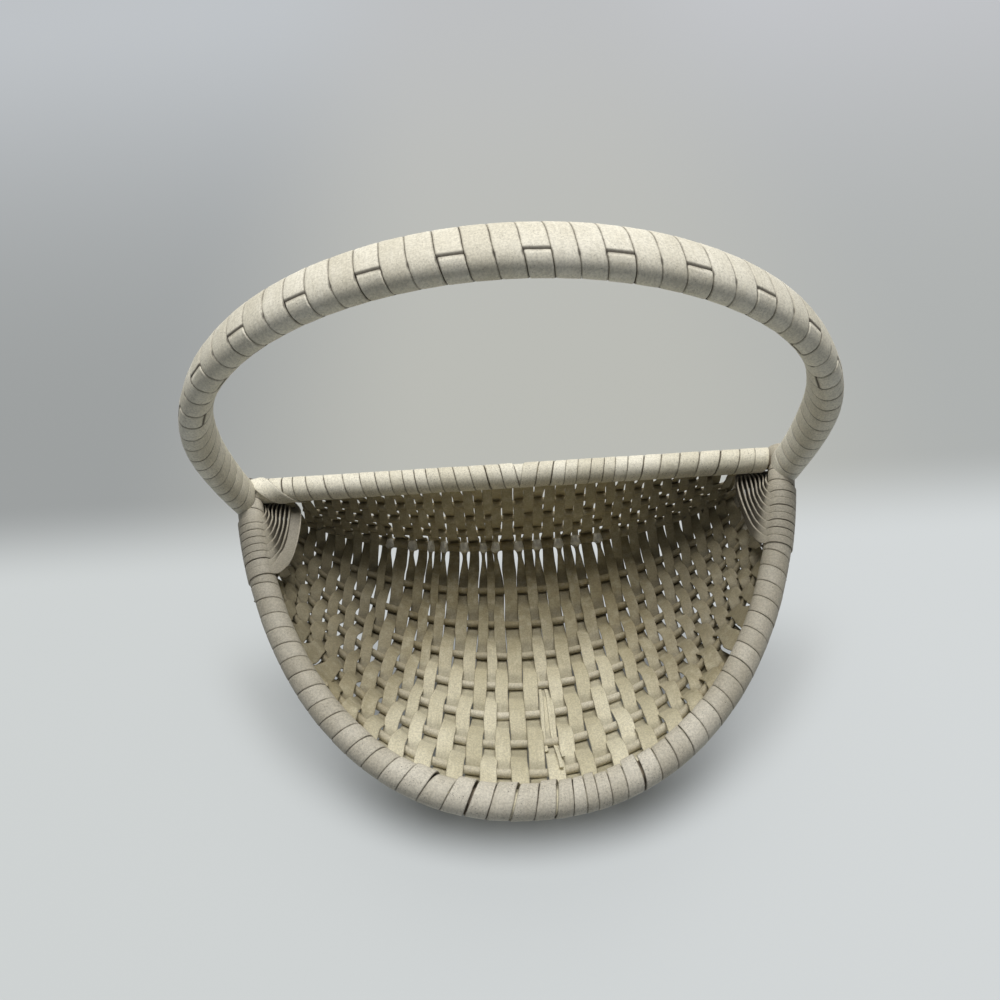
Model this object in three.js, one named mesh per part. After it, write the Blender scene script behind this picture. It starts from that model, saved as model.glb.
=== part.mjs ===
// Hanging wall basket: a bound back bar, a bowed front rim and an arched handle,
// with a pocket of flat reed woven over round ribs that run from corner to corner.
import * as THREE from 'three';

// Driving dimensions, in millimetres
const HALF_WIDTH = 150; // middle of the basket to a corner, along the back bar
const BACK_HEIGHT = 74; // back bar axis down to the seam rod
const RIM_REACH = 173; // back bar axis forward to the middle of the rim
const RIM_DROP = 15; // how far the middle of the rim hangs below the bar
const SEAM_LEAD = 66; // pull of the bowl's profile where it leaves the seam
const SEAM_SLOPE = 25; // degrees below level, there
const RIM_LEAD = 66; // pull of the bowl's profile where it meets the rim
const RIM_SLOPE = 43; // degrees above level, there
const BOW_FULLNESS = 2.175; // power of the rods' bow: 2 is an ellipse
const BOW_CUT = 0.346; // share of the bow's full depth that is cut off at the corners

const HANDLE_RISE = 155; // back bar axis up to the handle's middle line at the crown
const HANDLE_SHOULDER = 47; // height of the handle's widest place
const HANDLE_FOOT_INSET = 1; // corner in to the handle's middle line, at bar height
const HANDLE_BULGE = 6.5; // how far the handle's widest place swells out past its feet

const BAR_RADIUS = 5.7; // bare stick
const RIM_RADIUS = 5.8; // bare stick
const HANDLE_THICKNESS = 11.8; // bare core, across the arch's plane line
const HANDLE_DEPTH = 26.4; // bare core, front to back
const RIB_RADIUS = 2.1;
const SEAM_RADIUS = 2.5;
const RIB_TIP = 0.3; // share of the radius that the shaved rib ends keep
const RIB_FULL_AT = 0.85; // share of the bow's depth from which a rib is full round

const BOWL_RIBS = 7;
const FIRST_RIB_GAP = 30; // seam rod to the first bowl rib, along the profile
const BACK_RIBS = 3;
const BACK_TOP_GAP = 27; // back bar axis down to the first back rib

const PASSES = 48; // crossings of flat reed between bar and rim
const PASSES_PER_WEAVER = 4;
const CORNER_BARE = 20; // corner in to the last weaver's outer edge, along the bar
const RIM_BARE = 66; // corner in to the last weaver's outer edge, along the rim
const WEAVE_SPREAD = 0.12; // how much wider the spacing is in the middle than on average
const RIM_SPREAD = 0.08; // the same, along the rim
const WEAVER_WIDTH = 7.6;
const WEAVER_THICKNESS = 0.9;
const WEAVER_GAP = 0.55;
const TURN_HEIGHT = 2.5; // fold that joins two passes of a weaver
const TURN_RUN = 4; // way a weaver needs from its last rod to the fold

const BINDING_THICKNESS = 1.2;
const BINDING_GAP = 0.7;
const BAR_TURNS = 27.5;
const RIM_TURNS = 44;
const HANDLE_TURNS = 54;
const LISTING_WIDTH = 4.4;
const LISTING_THICKNESS = 0.8;
const LASHING_TURNS = 8;
const LASHING_PITCH = 4.6;
const LASHING_FAN = 4; // how far the lashing's turns reach past the rim towards the rib ends

const SEAT = 0.3; // clearance between pieces that touch
const BINDING_SEAT = 0.45; // clearance under a binding, where it bends with its stick
const SIDES = 8; // facets of the bound sticks
const JOIN_FACET = 2; // facet where a binding's lengths meet: under the bar and rim, behind the handle

// Sizes that follow from the above
const FACET = Math.cos(Math.PI / SIDES);
const BOUND = BINDING_SEAT + BINDING_THICKNESS;
const BAR_OUTER = BAR_RADIUS + BOUND;
const RIM_OUTER = RIM_RADIUS + BOUND;
const WALL_PLANE = BAR_OUTER * FACET;
const WEAVE_HALF_WIDTH = HALF_WIDTH - CORNER_BARE;
const BACK_RIB_SPACING = (BACK_HEIGHT - BACK_TOP_GAP) / BACK_RIBS;
const HANDLE_FOOT_HALF_WIDTH = HALF_WIDTH - HANDLE_FOOT_INSET;
const HANDLE_HALF_WIDTH = HANDLE_FOOT_HALF_WIDTH + HANDLE_BULGE;

const cream = new THREE.MeshStandardMaterial({ color: 0xd8d1c2, roughness: 0.72, metalness: 0 });
const shade = new THREE.MeshStandardMaterial({ color: 0xc9bfa8, roughness: 0.78, metalness: 0 });

const basket = new THREE.Group();
basket.position.y = -WALL_PLANE;

function addPiece(name, geometry, material) {
  const mesh = new THREE.Mesh(geometry, material);
  mesh.name = name;
  basket.add(mesh);
}

// Closed meshes from rings of points
class Shell {
  constructor() {
    this.points = [];
    this.faces = [];
  }

  ring(points) {
    const first = this.points.length;
    this.points.push(...points);
    return points.map((_, i) => first + i);
  }

  quad(a, b, c, d) {
    this.faces.push([a, b, c], [a, c, d]);
  }

  fan(ring) {
    for (let i = 1; i < ring.length - 1; i += 1) this.faces.push([ring[0], ring[i], ring[i + 1]]);
  }

  wall(from, to, skip = -1) {
    from.forEach((_, i) => {
      const next = (i + 1) % from.length;
      if (i !== skip) this.quad(from[i], from[next], to[next], to[i]);
    });
  }

  volume() {
    const across = new THREE.Vector3();
    return this.faces.reduce((sum, [a, b, c]) => {
      across.crossVectors(this.points[b], this.points[c]);
      return sum + this.points[a].dot(across) / 6;
    }, 0);
  }

  geometry() {
    const outward = this.volume() > 0;
    const index = this.faces.flatMap(([a, b, c]) => (outward ? [a, b, c] : [a, c, b]));
    const geometry = new THREE.BufferGeometry().setFromPoints(this.points);
    geometry.setIndex(index);
    geometry.computeVertexNormals();
    return geometry;
  }
}

function sweep(sections) {
  const shell = new Shell();
  const rings = sections.map((points) => shell.ring(points));
  rings.slice(1).forEach((ring, i) => shell.wall(rings[i], ring));
  shell.fan([...rings[0]].reverse());
  shell.fan(rings[rings.length - 1]);
  return shell.geometry();
}

// The bow that every rod follows: its depth, from 0 at a corner to 1 in the middle
const CORNER_WIDTH = (1 - BOW_CUT ** BOW_FULLNESS) ** (1 / BOW_FULLNESS);
const BOW_WIDTH = HALF_WIDTH / CORNER_WIDTH;

function bowDepth(x) {
  const level = (1 - (Math.abs(x) / BOW_WIDTH) ** BOW_FULLNESS) ** (1 / BOW_FULLNESS);
  return (level - BOW_CUT) / (1 - BOW_CUT);
}

function bowHalfWidth(depth) {
  const level = BOW_CUT + (1 - BOW_CUT) * depth;
  return BOW_WIDTH * (1 - level ** BOW_FULLNESS) ** (1 / BOW_FULLNESS);
}

// Profile at the middle of the basket: down the back panel, then along the bowl to the rim
const degrees = THREE.MathUtils.degToRad;
const seamPoint = new THREE.Vector2(0, -BACK_HEIGHT);
const rimPoint = new THREE.Vector2(-RIM_REACH, -RIM_DROP);
const seamPull = new THREE.Vector2(-Math.cos(degrees(SEAM_SLOPE)), -Math.sin(degrees(SEAM_SLOPE)));
const rimPull = new THREE.Vector2(Math.cos(degrees(RIM_SLOPE)), -Math.sin(degrees(RIM_SLOPE)));
const bowl = new THREE.CubicBezierCurve(
  seamPoint,
  seamPoint.clone().addScaledVector(seamPull, SEAM_LEAD),
  rimPoint.clone().addScaledVector(rimPull, RIM_LEAD),
  rimPoint,
);
const BOWL_LENGTH = bowl.getLength();
const PROFILE_LENGTH = BACK_HEIGHT + BOWL_LENGTH;

function profileAt(along) {
  if (along <= BACK_HEIGHT) {
    return { point: new THREE.Vector2(0, -along), heading: new THREE.Vector2(0, -1) };
  }
  const share = Math.min(1, (along - BACK_HEIGHT) / BOWL_LENGTH);
  return { point: bowl.getPointAt(share), heading: bowl.getTangentAt(share) };
}

// Rods of the weave, by their place along the profile
const rods = [];
for (let i = 0; i < BACK_RIBS; i += 1) {
  const along = BACK_HEIGHT - BACK_RIB_SPACING * (BACK_RIBS - i);
  rods.push({ name: `back_rib_${i + 1}`, along, radius: RIB_RADIUS });
}
const SEAM = rods.length;
rods.push({ name: 'seam_rod', along: BACK_HEIGHT, radius: SEAM_RADIUS });
const RIB_SPACING = (BOWL_LENGTH - FIRST_RIB_GAP) / BOWL_RIBS;
for (let i = 0; i < BOWL_RIBS; i += 1) {
  const along = BACK_HEIGHT + FIRST_RIB_GAP + RIB_SPACING * i;
  rods.push({ name: `bowl_rib_${i + 1}`, along, radius: RIB_RADIUS });
}
rods.forEach((rod, i) => {
  const above = i > 0 ? rods[i - 1].along : 0;
  const below = i < rods.length - 1 ? rods[i + 1].along : PROFILE_LENGTH;
  rod.spacing = Math.min(rod.along - above, below - rod.along);
});

function rodRadius(rod, depth) {
  return rod.radius * Math.min(1, RIB_TIP + ((1 - RIB_TIP) * depth) / RIB_FULL_AT);
}

// A rod ends where it would meet its neighbours, the bar or the rim's lashing
const RIM_SKEW = 2; // extra way to the rim at the sides, where it runs aslant
const CROSSING_RUN = 7; // closest that back ribs may lie and still be woven
function rodEndDepth(rod) {
  const toNeighbour = (2 * rod.radius + SEAT) / rod.spacing;
  const fold = SEAT + TURN_HEIGHT + TURN_RUN;
  const toBar = (BAR_OUTER + fold) / rod.along;
  const toRim = (RIM_OUTER + fold + RIM_SKEW) / (PROFILE_LENGTH - rod.along);
  const toLashing = (RIM_OUTER + LASHING_FAN + SEAT + rod.radius) / (PROFILE_LENGTH - rod.along);
  const woven = rods.indexOf(rod) < SEAM ? CROSSING_RUN / rod.spacing : 0;
  return Math.max(toNeighbour, toBar, toRim, toLashing, woven);
}

function onBow(x, depth, { x: y, y: z }) {
  return new THREE.Vector3(x, y * depth, z * depth);
}

// Front rim: the bow in its own plane
const RIM_SAMPLES = 400;
const rimCurve = [];
const rimArc = [0];
for (let i = 0; i <= RIM_SAMPLES; i += 1) {
  const turn = (Math.PI * i) / RIM_SAMPLES;
  const depth = Math.sin(turn);
  const x = -Math.sign(Math.cos(turn)) * bowHalfWidth(depth);
  rimCurve.push(onBow(x, depth, rimPoint));
  if (i > 0) rimArc.push(rimArc[i - 1] + rimCurve[i].distanceTo(rimCurve[i - 1]));
}
const RIM_HALF_ARC = rimArc[RIM_SAMPLES] / 2;

function rimPlace(arc) {
  const along = arc + RIM_HALF_ARC;
  const i = rimArc.findIndex((length) => length > along) - 1;
  const share = (along - rimArc[i]) / (rimArc[i + 1] - rimArc[i]);
  return THREE.MathUtils.lerp(rimCurve[i].x, rimCurve[i + 1].x, share);
}

// Edges of the passes: level down the back panel, then fanning out to even places along the rim
function spread(place, amount) {
  return place + (amount * Math.sin(Math.PI * place)) / Math.PI;
}

function passEdge(index, along) {
  const place = (2 * index) / PASSES - 1;
  const atBar = WEAVE_HALF_WIDTH * spread(place, WEAVE_SPREAD);
  const atRim = rimPlace((RIM_HALF_ARC - RIM_BARE) * spread(place, RIM_SPREAD));
  const share = Math.max(0, (along - BACK_HEIGHT) / BOWL_LENGTH);
  return THREE.MathUtils.lerp(atBar, atRim, share);
}

const SLOPE_STEP = 0.05;
function passAt(index, along) {
  const left = passEdge(index, along);
  const right = passEdge(index + 1, along);
  const x = (left + right) / 2;
  const slope = (bowDepth(x + SLOPE_STEP) - bowDepth(x - SLOPE_STEP)) / (2 * SLOPE_STEP);
  return { x, depth: bowDepth(x), slope, pitch: right - left };
}

// A rod that stops inside the weave stops between two passes
rods.forEach((rod) => {
  const limit = bowHalfWidth(rodEndDepth(rod));
  let edge = PASSES;
  while (passEdge(edge, rod.along) > limit) edge -= 1;
  const inWeave = limit < passEdge(PASSES, rod.along);
  rod.end = inWeave ? passEdge(edge, rod.along) - rod.radius / 2 : limit;
});

// Round rods
const ROD_SIDES = 6;
const RIM_ROD_STEPS = 40; // for a rod as far out as the rim: inner rods bend less and need fewer
function ringAcross(centre, heading, radius) {
  const side = new THREE.Vector3(0, heading.z, -heading.y);
  if (side.lengthSq() < 1e-6) side.set(0, 0, 1);
  side.normalize();
  const up = new THREE.Vector3().crossVectors(heading, side).normalize();
  const points = [];
  for (let i = 0; i < ROD_SIDES; i += 1) {
    const angle = (2 * Math.PI * i) / ROD_SIDES;
    const point = centre.clone().addScaledVector(side, radius * Math.cos(angle));
    points.push(point.addScaledVector(up, radius * Math.sin(angle)));
  }
  return points;
}

function buildRod(rod) {
  const { point } = profileAt(rod.along);
  const steps = Math.ceil(RIM_ROD_STEPS * Math.sqrt(point.length() / rimPoint.length()));
  const centres = [];
  for (let i = 0; i <= steps; i += 1) {
    const x = rod.end * Math.sin(Math.PI * (i / steps - 0.5));
    centres.push(onBow(x, bowDepth(x), point));
  }
  const sections = centres.map((centre, i) => {
    const before = centres[Math.max(0, i - 1)];
    const after = centres[Math.min(centres.length - 1, i + 1)];
    const heading = after.clone().sub(before).normalize();
    return ringAcross(centre, heading, rodRadius(rod, bowDepth(centre.x)));
  });
  addPiece(rod.name, sweep(sections), shade);
}

// Flat reed, woven
const HALF_REED = WEAVER_THICKNESS / 2;

// Directions on the woven surface: along the rods, and inwards within a pass's own plane
function acrossAt(pass, along) {
  const { point } = profileAt(along);
  return new THREE.Vector3(1, point.x * pass.slope, point.y * pass.slope);
}

function inwardAt(along) {
  const { heading } = profileAt(along);
  return new THREE.Vector3(0, heading.y, -heading.x);
}

function weaverSection(index, along, lift, inward = inwardAt(along)) {
  const pass = passAt(index, along);
  const across = acrossAt(pass, along);
  const half = Math.min(WEAVER_WIDTH, pass.pitch * across.length() - WEAVER_GAP) / 2;
  across.normalize();
  const centre = onBow(pass.x, pass.depth, profileAt(along).point).addScaledVector(inward, lift);
  const corner = (side, face) => centre
    .clone()
    .addScaledVector(across, side * half)
    .addScaledVector(inward, face * HALF_REED);
  return [corner(-1, -1), corner(1, -1), corner(1, 1), corner(-1, 1)];
}

// Clear of a rod at a crossing, with the reed leaning towards its next crossing
const CORNER_EASE = 1.8; // how much the clearance grows towards the corners, where rods crowd
function rodClear(rod, depth) {
  return rodRadius(rod, depth) + SEAT * (1 + CORNER_EASE * (1 - depth)) + HALF_REED;
}

function crossingLift(index, rodIndex, inward = inwardAt(rods[rodIndex].along)) {
  const rod = rods[rodIndex];
  const pass = passAt(index, rod.along);
  const square = Math.sqrt(1 - inward.dot(acrossAt(pass, rod.along).normalize()) ** 2);
  const clear = rodClear(rod, pass.depth);
  const leans = [rods[rodIndex - 1], rods[rodIndex + 1]].filter(Boolean).map((next) => {
    const rise = (clear + rodClear(next, pass.depth)) / square;
    return Math.atan2(rise, Math.abs(next.along - rod.along) * pass.depth);
  });
  return ((clear - HALF_REED) / Math.cos(Math.max(...leans)) + HALF_REED) / square;
}

const SEAM_STEP = 0.01; // just above and just below the seam, to read both headings
const SEAM_WRAP = 1.08; // extra lift of the reed where it bends round the outside of the seam rod

function seamSections(index, side) {
  const panel = inwardAt(BACK_HEIGHT - SEAM_STEP);
  const floor = inwardAt(BACK_HEIGHT + SEAM_STEP);
  const middle = panel.clone().add(floor).normalize();
  const section = (inward, wrap) => {
    const lift = side * wrap * crossingLift(index, SEAM, inward);
    return weaverSection(index, BACK_HEIGHT, lift, inward);
  };
  if (side > 0) return [section(middle, 1)];
  return [panel, middle, floor].map((inward) => section(inward, SEAM_WRAP));
}

// Back along the profile from the rim, to where a weaver just clears the rim's binding
const RIM_SEARCH = 0.2;
function rimClearance(index) {
  const end = passAt(index, PROFILE_LENGTH);
  const rimLine = acrossAt(end, PROFILE_LENGTH).normalize();
  const onRim = onBow(end.x, end.depth, rimPoint);
  let along = PROFILE_LENGTH;
  let apart = 0;
  while (apart < RIM_OUTER + SEAT + HALF_REED) {
    along -= RIM_SEARCH;
    const pass = passAt(index, along);
    const offset = onBow(pass.x, pass.depth, profileAt(along).point).sub(onRim);
    apart = offset.addScaledVector(rimLine, -offset.dot(rimLine)).length();
  }
  return along;
}

function passSections(index) {
  const top = passAt(index, 0);
  const rise = (Math.abs(top.slope) * WEAVER_WIDTH) / 2;
  const barEnd = (BAR_OUTER * FACET + SEAT) / (top.depth - rise);
  const barTurn = TURN_HEIGHT / top.depth;
  const rimEnd = rimClearance(index);
  const rimTurn = TURN_HEIGHT / passAt(index, rimEnd).depth;
  const sections = [weaverSection(index, barEnd, 0), weaverSection(index, barEnd + barTurn, 0)];
  rods.forEach((rod, i) => {
    if (Math.abs(passAt(index, rod.along).x) > rod.end) return;
    const side = (index + i) % 2 === 0 ? -1 : 1;
    if (i === SEAM) sections.push(...seamSections(index, side));
    else sections.push(weaverSection(index, rod.along, side * crossingLift(index, i)));
  });
  sections.push(weaverSection(index, rimEnd - rimTurn, 0), weaverSection(index, rimEnd, 0));
  return sections;
}

const RIGHT = 1;
const LEFT = 3;

function buildWeaver(number) {
  const shell = new Shell();
  const passes = [];
  for (let i = 0; i < PASSES_PER_WEAVER; i += 1) {
    const sections = passSections(number * PASSES_PER_WEAVER + i);
    passes.push(sections.map((points) => shell.ring(points)));
  }
  passes.forEach((rings, i) => {
    const last = rings.length - 2;
    rings.slice(1).forEach((ring, k) => {
      const atRim = k === last;
      const atBar = k === 0;
      const toNext = (atRim && i % 2 === 0) || (atBar && i % 2 === 1);
      const toPrevious = (atRim && i % 2 === 1) || (atBar && i % 2 === 0);
      let skip = -1;
      if (toNext && i < passes.length - 1) skip = RIGHT;
      if (toPrevious && i > 0) skip = LEFT;
      shell.wall(rings[k], ring, skip);
    });
    shell.fan([...rings[0]].reverse());
    shell.fan(rings[rings.length - 1]);
    if (i === passes.length - 1) return;
    const next = passes[i + 1];
    const atRim = i % 2 === 0;
    const a = atRim ? rings.slice(-2) : rings.slice(0, 2);
    const b = atRim ? next.slice(-2) : next.slice(0, 2);
    shell.quad(a[0][1], b[0][0], b[1][0], a[1][1]);
    shell.quad(b[0][3], a[0][2], a[1][2], b[1][3]);
    shell.quad(a[1][1], b[1][0], b[1][3], a[1][2]);
    shell.quad(a[0][2], b[0][3], b[0][0], a[0][1]);
  });
  const name = `weaver_${String(number + 1).padStart(2, '0')}`;
  addPiece(name, shell.geometry(), cream);
}

// Sticks that are bound: a middle line in one plane, with a facetted section
class Stick {
  constructor(points, planeNormal, outSize, planeSize) {
    this.points = points;
    this.side = planeNormal.clone().normalize();
    this.outSize = outSize;
    this.planeSize = planeSize;
    this.lengths = [0];
    points.slice(1).forEach((point, i) => {
      this.lengths.push(this.lengths[i] + point.distanceTo(points[i]));
    });
    this.length = this.lengths[this.lengths.length - 1];
    this.outs = points.map((_, i) => {
      const before = points[Math.max(0, i - 1)];
      const after = points[Math.min(points.length - 1, i + 1)];
      return after.clone().sub(before).cross(this.side).normalize();
    });
  }

  // Point at a length along the stick, an angle round it and a height above its bare surface
  at(along, angle, above, reach = 0) {
    let i = this.lengths.findIndex((length) => length > along) - 1;
    if (i < 0) i = along <= 0 ? 0 : this.points.length - 2;
    const share = (along - this.lengths[i]) / (this.lengths[i + 1] - this.lengths[i]);
    const centre = this.points[i].clone().lerp(this.points[i + 1], share);
    const out = this.outs[i].clone().lerp(this.outs[i + 1], share);
    const inner = Math.max(0, -Math.cos(angle)) * reach;
    const outwards = Math.cos(angle) * (this.outSize + above + inner);
    centre.addScaledVector(out, outwards);
    return centre.addScaledVector(this.side, Math.sin(angle) * (this.planeSize + above));
  }

  // Bare stick, with a bed sunk into its front and rear facets
  core(bed = 0) {
    return sweep(this.lengths.map((along) => {
      const ring = [];
      for (let k = 0; k < SIDES; k += 1) {
        const angle = facetAngle(k);
        const point = this.at(along, angle, 0);
        const onFace = Math.abs(Math.cos(angle)) < 0.5;
        const sunk = onFace ? -bed * Math.sign(Math.sin(angle)) : 0;
        ring.push(point.addScaledVector(this.side, sunk));
      }
      return ring;
    }));
  }
}

function facetAngle(k) {
  return (2 * Math.PI * (k + 0.5)) / SIDES;
}

// Reed wound round a stick, as one unbroken strip with a raised middle or a flat top
function winding(name, stick, { start, pitch, first, last, flatTop = false, reach = () => 0 }) {
  const half = (pitch - BINDING_GAP) / 2;
  const sections = [];
  for (let step = first; step <= last; step += 1) {
    const along = start + half + (pitch * step) / SIDES;
    const angle = facetAngle(step + JOIN_FACET);
    const fan = reach((step - first) / (last - first));
    const inside = [-half, half].map((side) => stick.at(along + side, angle, BINDING_SEAT, fan));
    const outside = flatTop
      ? [stick.at(along + half, angle, BOUND, fan), stick.at(along - half, angle, BOUND, fan)]
      : [stick.at(along, angle, BOUND, fan)];
    sections.push([...inside, ...outside]);
  }
  let least = Infinity;
  for (let step = 0; step + SIDES < sections.length; step += 1) {
    const beyond = sections[step + SIDES];
    sections[step].forEach((a) => beyond.forEach((b) => {
      least = Math.min(least, a.distanceTo(b));
    }));
  }
  console.log(`${name}: least gap between turns ${least.toFixed(2)} mm`);
  addPiece(name, sweep(sections), cream);
}

// Front rim stick, with short tails back to the bar's rear
const RIM_STEPS = 48;
const rimPlane = new THREE.Vector3(0, RIM_DROP, -RIM_REACH);
function evenly(points, count) {
  const path = new THREE.CurvePath();
  points.slice(1).forEach((point, i) => path.add(new THREE.LineCurve3(points[i], point)));
  return path.getSpacedPoints(count);
}
const rimPoints = evenly(rimCurve, RIM_STEPS);
const tailHeading = rimPoints[0].clone().sub(rimPoints[1]).normalize();
const tail = rimPoints[0].clone().addScaledVector(tailHeading, BAR_RADIUS);
const rimStick = new Stick(
  [tail, ...rimPoints, tail.clone().setX(-tail.x)],
  rimPlane,
  RIM_RADIUS,
  RIM_RADIUS,
);
addPiece('front_rim', rimStick.core(), shade);

// Back bar: butts against the inner sides of the rim's ends
const tailLean = Math.abs(tailHeading.x / tailHeading.y);
const BAR_END = HALF_WIDTH - RIM_RADIUS - tailLean * BAR_RADIUS - SEAT;
const barStick = new Stick(
  [new THREE.Vector3(-BAR_END, 0, 0), new THREE.Vector3(BAR_END, 0, 0)],
  new THREE.Vector3(0, 0, -1),
  BAR_RADIUS,
  BAR_RADIUS,
);
addPiece('back_bar', barStick.core(), shade);

// Handle: an arch with its rear flush with the bar's, standing on the rim's bare ends
const HANDLE_STEPS = 60;
const HANDLE_PLANE = WALL_PLANE - (HANDLE_DEPTH / 2 + BOUND) * FACET;
const legTurn = Math.acos(HANDLE_FOOT_HALF_WIDTH / HANDLE_HALF_WIDTH);
const legRise = HANDLE_SHOULDER / Math.sin(legTurn);
const RIM_FALL = RIM_DROP / RIM_REACH;
const FOOT_HEIGHT = RIM_RADIUS * FACET + SEAT + RIM_FALL * BAR_RADIUS;
const footTurn = Math.asin((HANDLE_SHOULDER - FOOT_HEIGHT) / legRise);
const archRise = HANDLE_RISE - HANDLE_SHOULDER;
const arch = new THREE.CurvePath();
const legs = [HANDLE_HALF_WIDTH, legRise];
arch.add(new THREE.EllipseCurve(0, HANDLE_SHOULDER, ...legs, Math.PI + footTurn, Math.PI, true));
arch.add(new THREE.EllipseCurve(0, HANDLE_SHOULDER, HANDLE_HALF_WIDTH, archRise, Math.PI, 0, true));
arch.add(new THREE.EllipseCurve(0, HANDLE_SHOULDER, ...legs, 0, -footTurn, true));
const archPoints = arch.getSpacedPoints(HANDLE_STEPS).map(({ x, y }) => (
  new THREE.Vector3(x, HANDLE_PLANE, y)
));
const handleStick = new Stick(
  archPoints,
  new THREE.Vector3(0, 1, 0),
  HANDLE_THICKNESS / 2,
  HANDLE_DEPTH / 2,
);
// Feet cut level
handleStick.outs[0].set(-1, 0, 0);
handleStick.outs[HANDLE_STEPS].set(1, 0, 0);
const LISTING_BED = LISTING_THICKNESS + SEAT;
addPiece('handle_core', handleStick.core(LISTING_BED), shade);

// Listings: flat strips under the binding, bedded along the front and rear faces of the handle
function buildListing(name, face) {
  const top = (HANDLE_DEPTH / 2) * FACET;
  const bottom = top - LISTING_THICKNESS;
  const sections = handleStick.points.map((centre, i) => {
    const corner = (side, height) => centre
      .clone()
      .addScaledVector(handleStick.outs[i], (side * LISTING_WIDTH) / 2)
      .addScaledVector(handleStick.side, face * height);
    return [corner(-1, bottom), corner(1, bottom), corner(1, top), corner(-1, top)];
  });
  addPiece(name, sweep(sections), cream);
}
buildListing('handle_listing_front', -1);
buildListing('handle_listing_rear', 1);

// Bar binding, with a flat rear facet exactly in the middle
const barReach = HANDLE_FOOT_HALF_WIDTH - HANDLE_THICKNESS / 2 - BOUND - SEAT;
const barPitch = (2 * barReach) / (BAR_TURNS + 1);
const barJoin = SIDES * Math.ceil(BAR_TURNS / 2);
const rearStep = barJoin - JOIN_FACET - 0.5;
const barStart = BAR_END - (barPitch - BINDING_GAP) / 2 - (barPitch * rearStep) / SIDES;
const barReed = { start: barStart, pitch: barPitch, flatTop: true };
winding('bar_binding_left', barStick, { ...barReed, first: 0, last: barJoin - 1 });
winding('bar_binding_right', barStick, { ...barReed, first: barJoin, last: BAR_TURNS * SIDES });

// Corner lashings, in front of the handle's feet
const lashStart = BAR_RADIUS + SEAT + HANDLE_DEPTH / 2 - HANDLE_PLANE;
const lashSteps = LASHING_TURNS * SIDES;
const rightLash = rimStick.length - lashStart - LASHING_PITCH * (LASHING_TURNS + 1) + BINDING_GAP;
const lash = { pitch: LASHING_PITCH, first: 0, last: lashSteps };
winding('corner_lashing_left', rimStick, {
  ...lash,
  start: lashStart,
  reach: (share) => LASHING_FAN * (1 - share),
});
winding('corner_lashing_right', rimStick, {
  ...lash,
  start: rightLash,
  reach: (share) => LASHING_FAN * share,
});

// Rim binding, close up to the lashings at both ends
const ONE_STEP = 1 / SIDES;
const rimRun = rightLash - lashStart - LASHING_PITCH * (LASHING_TURNS - 1 + 2 * ONE_STEP);
const rimPitch = rimRun / (RIM_TURNS + 1 - 2 * ONE_STEP);
const rimStart = lashStart + LASHING_PITCH * (LASHING_TURNS + ONE_STEP) - rimPitch * ONE_STEP;
const rimJoin = (RIM_TURNS / 2) * SIDES;
const rimReed = { start: rimStart, pitch: rimPitch };
winding('rim_binding_left', rimStick, { ...rimReed, first: 1, last: rimJoin - 1 });
winding('rim_binding_right', rimStick, { ...rimReed, first: rimJoin, last: RIM_TURNS * SIDES - 1 });

// Handle binding, in three lengths
const HANDLE_LENGTHS = ['left', 'crown', 'right'];
const handlePitch = handleStick.length / (HANDLE_TURNS + 1);
const handleSteps = (HANDLE_TURNS * SIDES) / HANDLE_LENGTHS.length;
HANDLE_LENGTHS.forEach((place, i) => {
  winding(`handle_binding_${place}`, handleStick, {
    start: 0,
    pitch: handlePitch,
    first: handleSteps * i,
    last: handleSteps * (i + 1) - 1,
  });
});

rods.forEach(buildRod);
for (let i = 0; i < PASSES / PASSES_PER_WEAVER; i += 1) buildWeaver(i);

export default basket;
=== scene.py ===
"""Looks of the hanging wall basket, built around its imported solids."""
import math
import random

import bmesh
import bpy
import numpy as np
from mathutils import Matrix, Quaternion, Vector


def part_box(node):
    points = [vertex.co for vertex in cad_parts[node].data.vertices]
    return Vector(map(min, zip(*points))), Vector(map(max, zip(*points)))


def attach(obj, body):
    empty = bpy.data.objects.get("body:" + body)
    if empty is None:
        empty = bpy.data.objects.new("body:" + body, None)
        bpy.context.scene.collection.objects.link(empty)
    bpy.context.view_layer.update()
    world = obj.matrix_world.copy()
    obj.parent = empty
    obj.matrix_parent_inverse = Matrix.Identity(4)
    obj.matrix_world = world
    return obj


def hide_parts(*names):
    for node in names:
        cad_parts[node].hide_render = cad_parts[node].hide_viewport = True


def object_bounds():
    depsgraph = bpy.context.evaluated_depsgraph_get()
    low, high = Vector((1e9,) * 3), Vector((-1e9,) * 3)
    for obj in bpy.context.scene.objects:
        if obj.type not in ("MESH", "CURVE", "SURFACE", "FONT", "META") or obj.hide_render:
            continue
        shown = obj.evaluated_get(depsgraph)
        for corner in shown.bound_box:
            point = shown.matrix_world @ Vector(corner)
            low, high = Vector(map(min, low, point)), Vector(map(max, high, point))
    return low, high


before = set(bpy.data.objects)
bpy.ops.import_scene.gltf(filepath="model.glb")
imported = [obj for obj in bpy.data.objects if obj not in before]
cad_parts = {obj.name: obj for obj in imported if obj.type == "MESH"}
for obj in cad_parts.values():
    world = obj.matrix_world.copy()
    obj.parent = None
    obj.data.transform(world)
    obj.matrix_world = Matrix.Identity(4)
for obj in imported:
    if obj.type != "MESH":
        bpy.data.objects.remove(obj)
cad_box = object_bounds()

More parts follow.
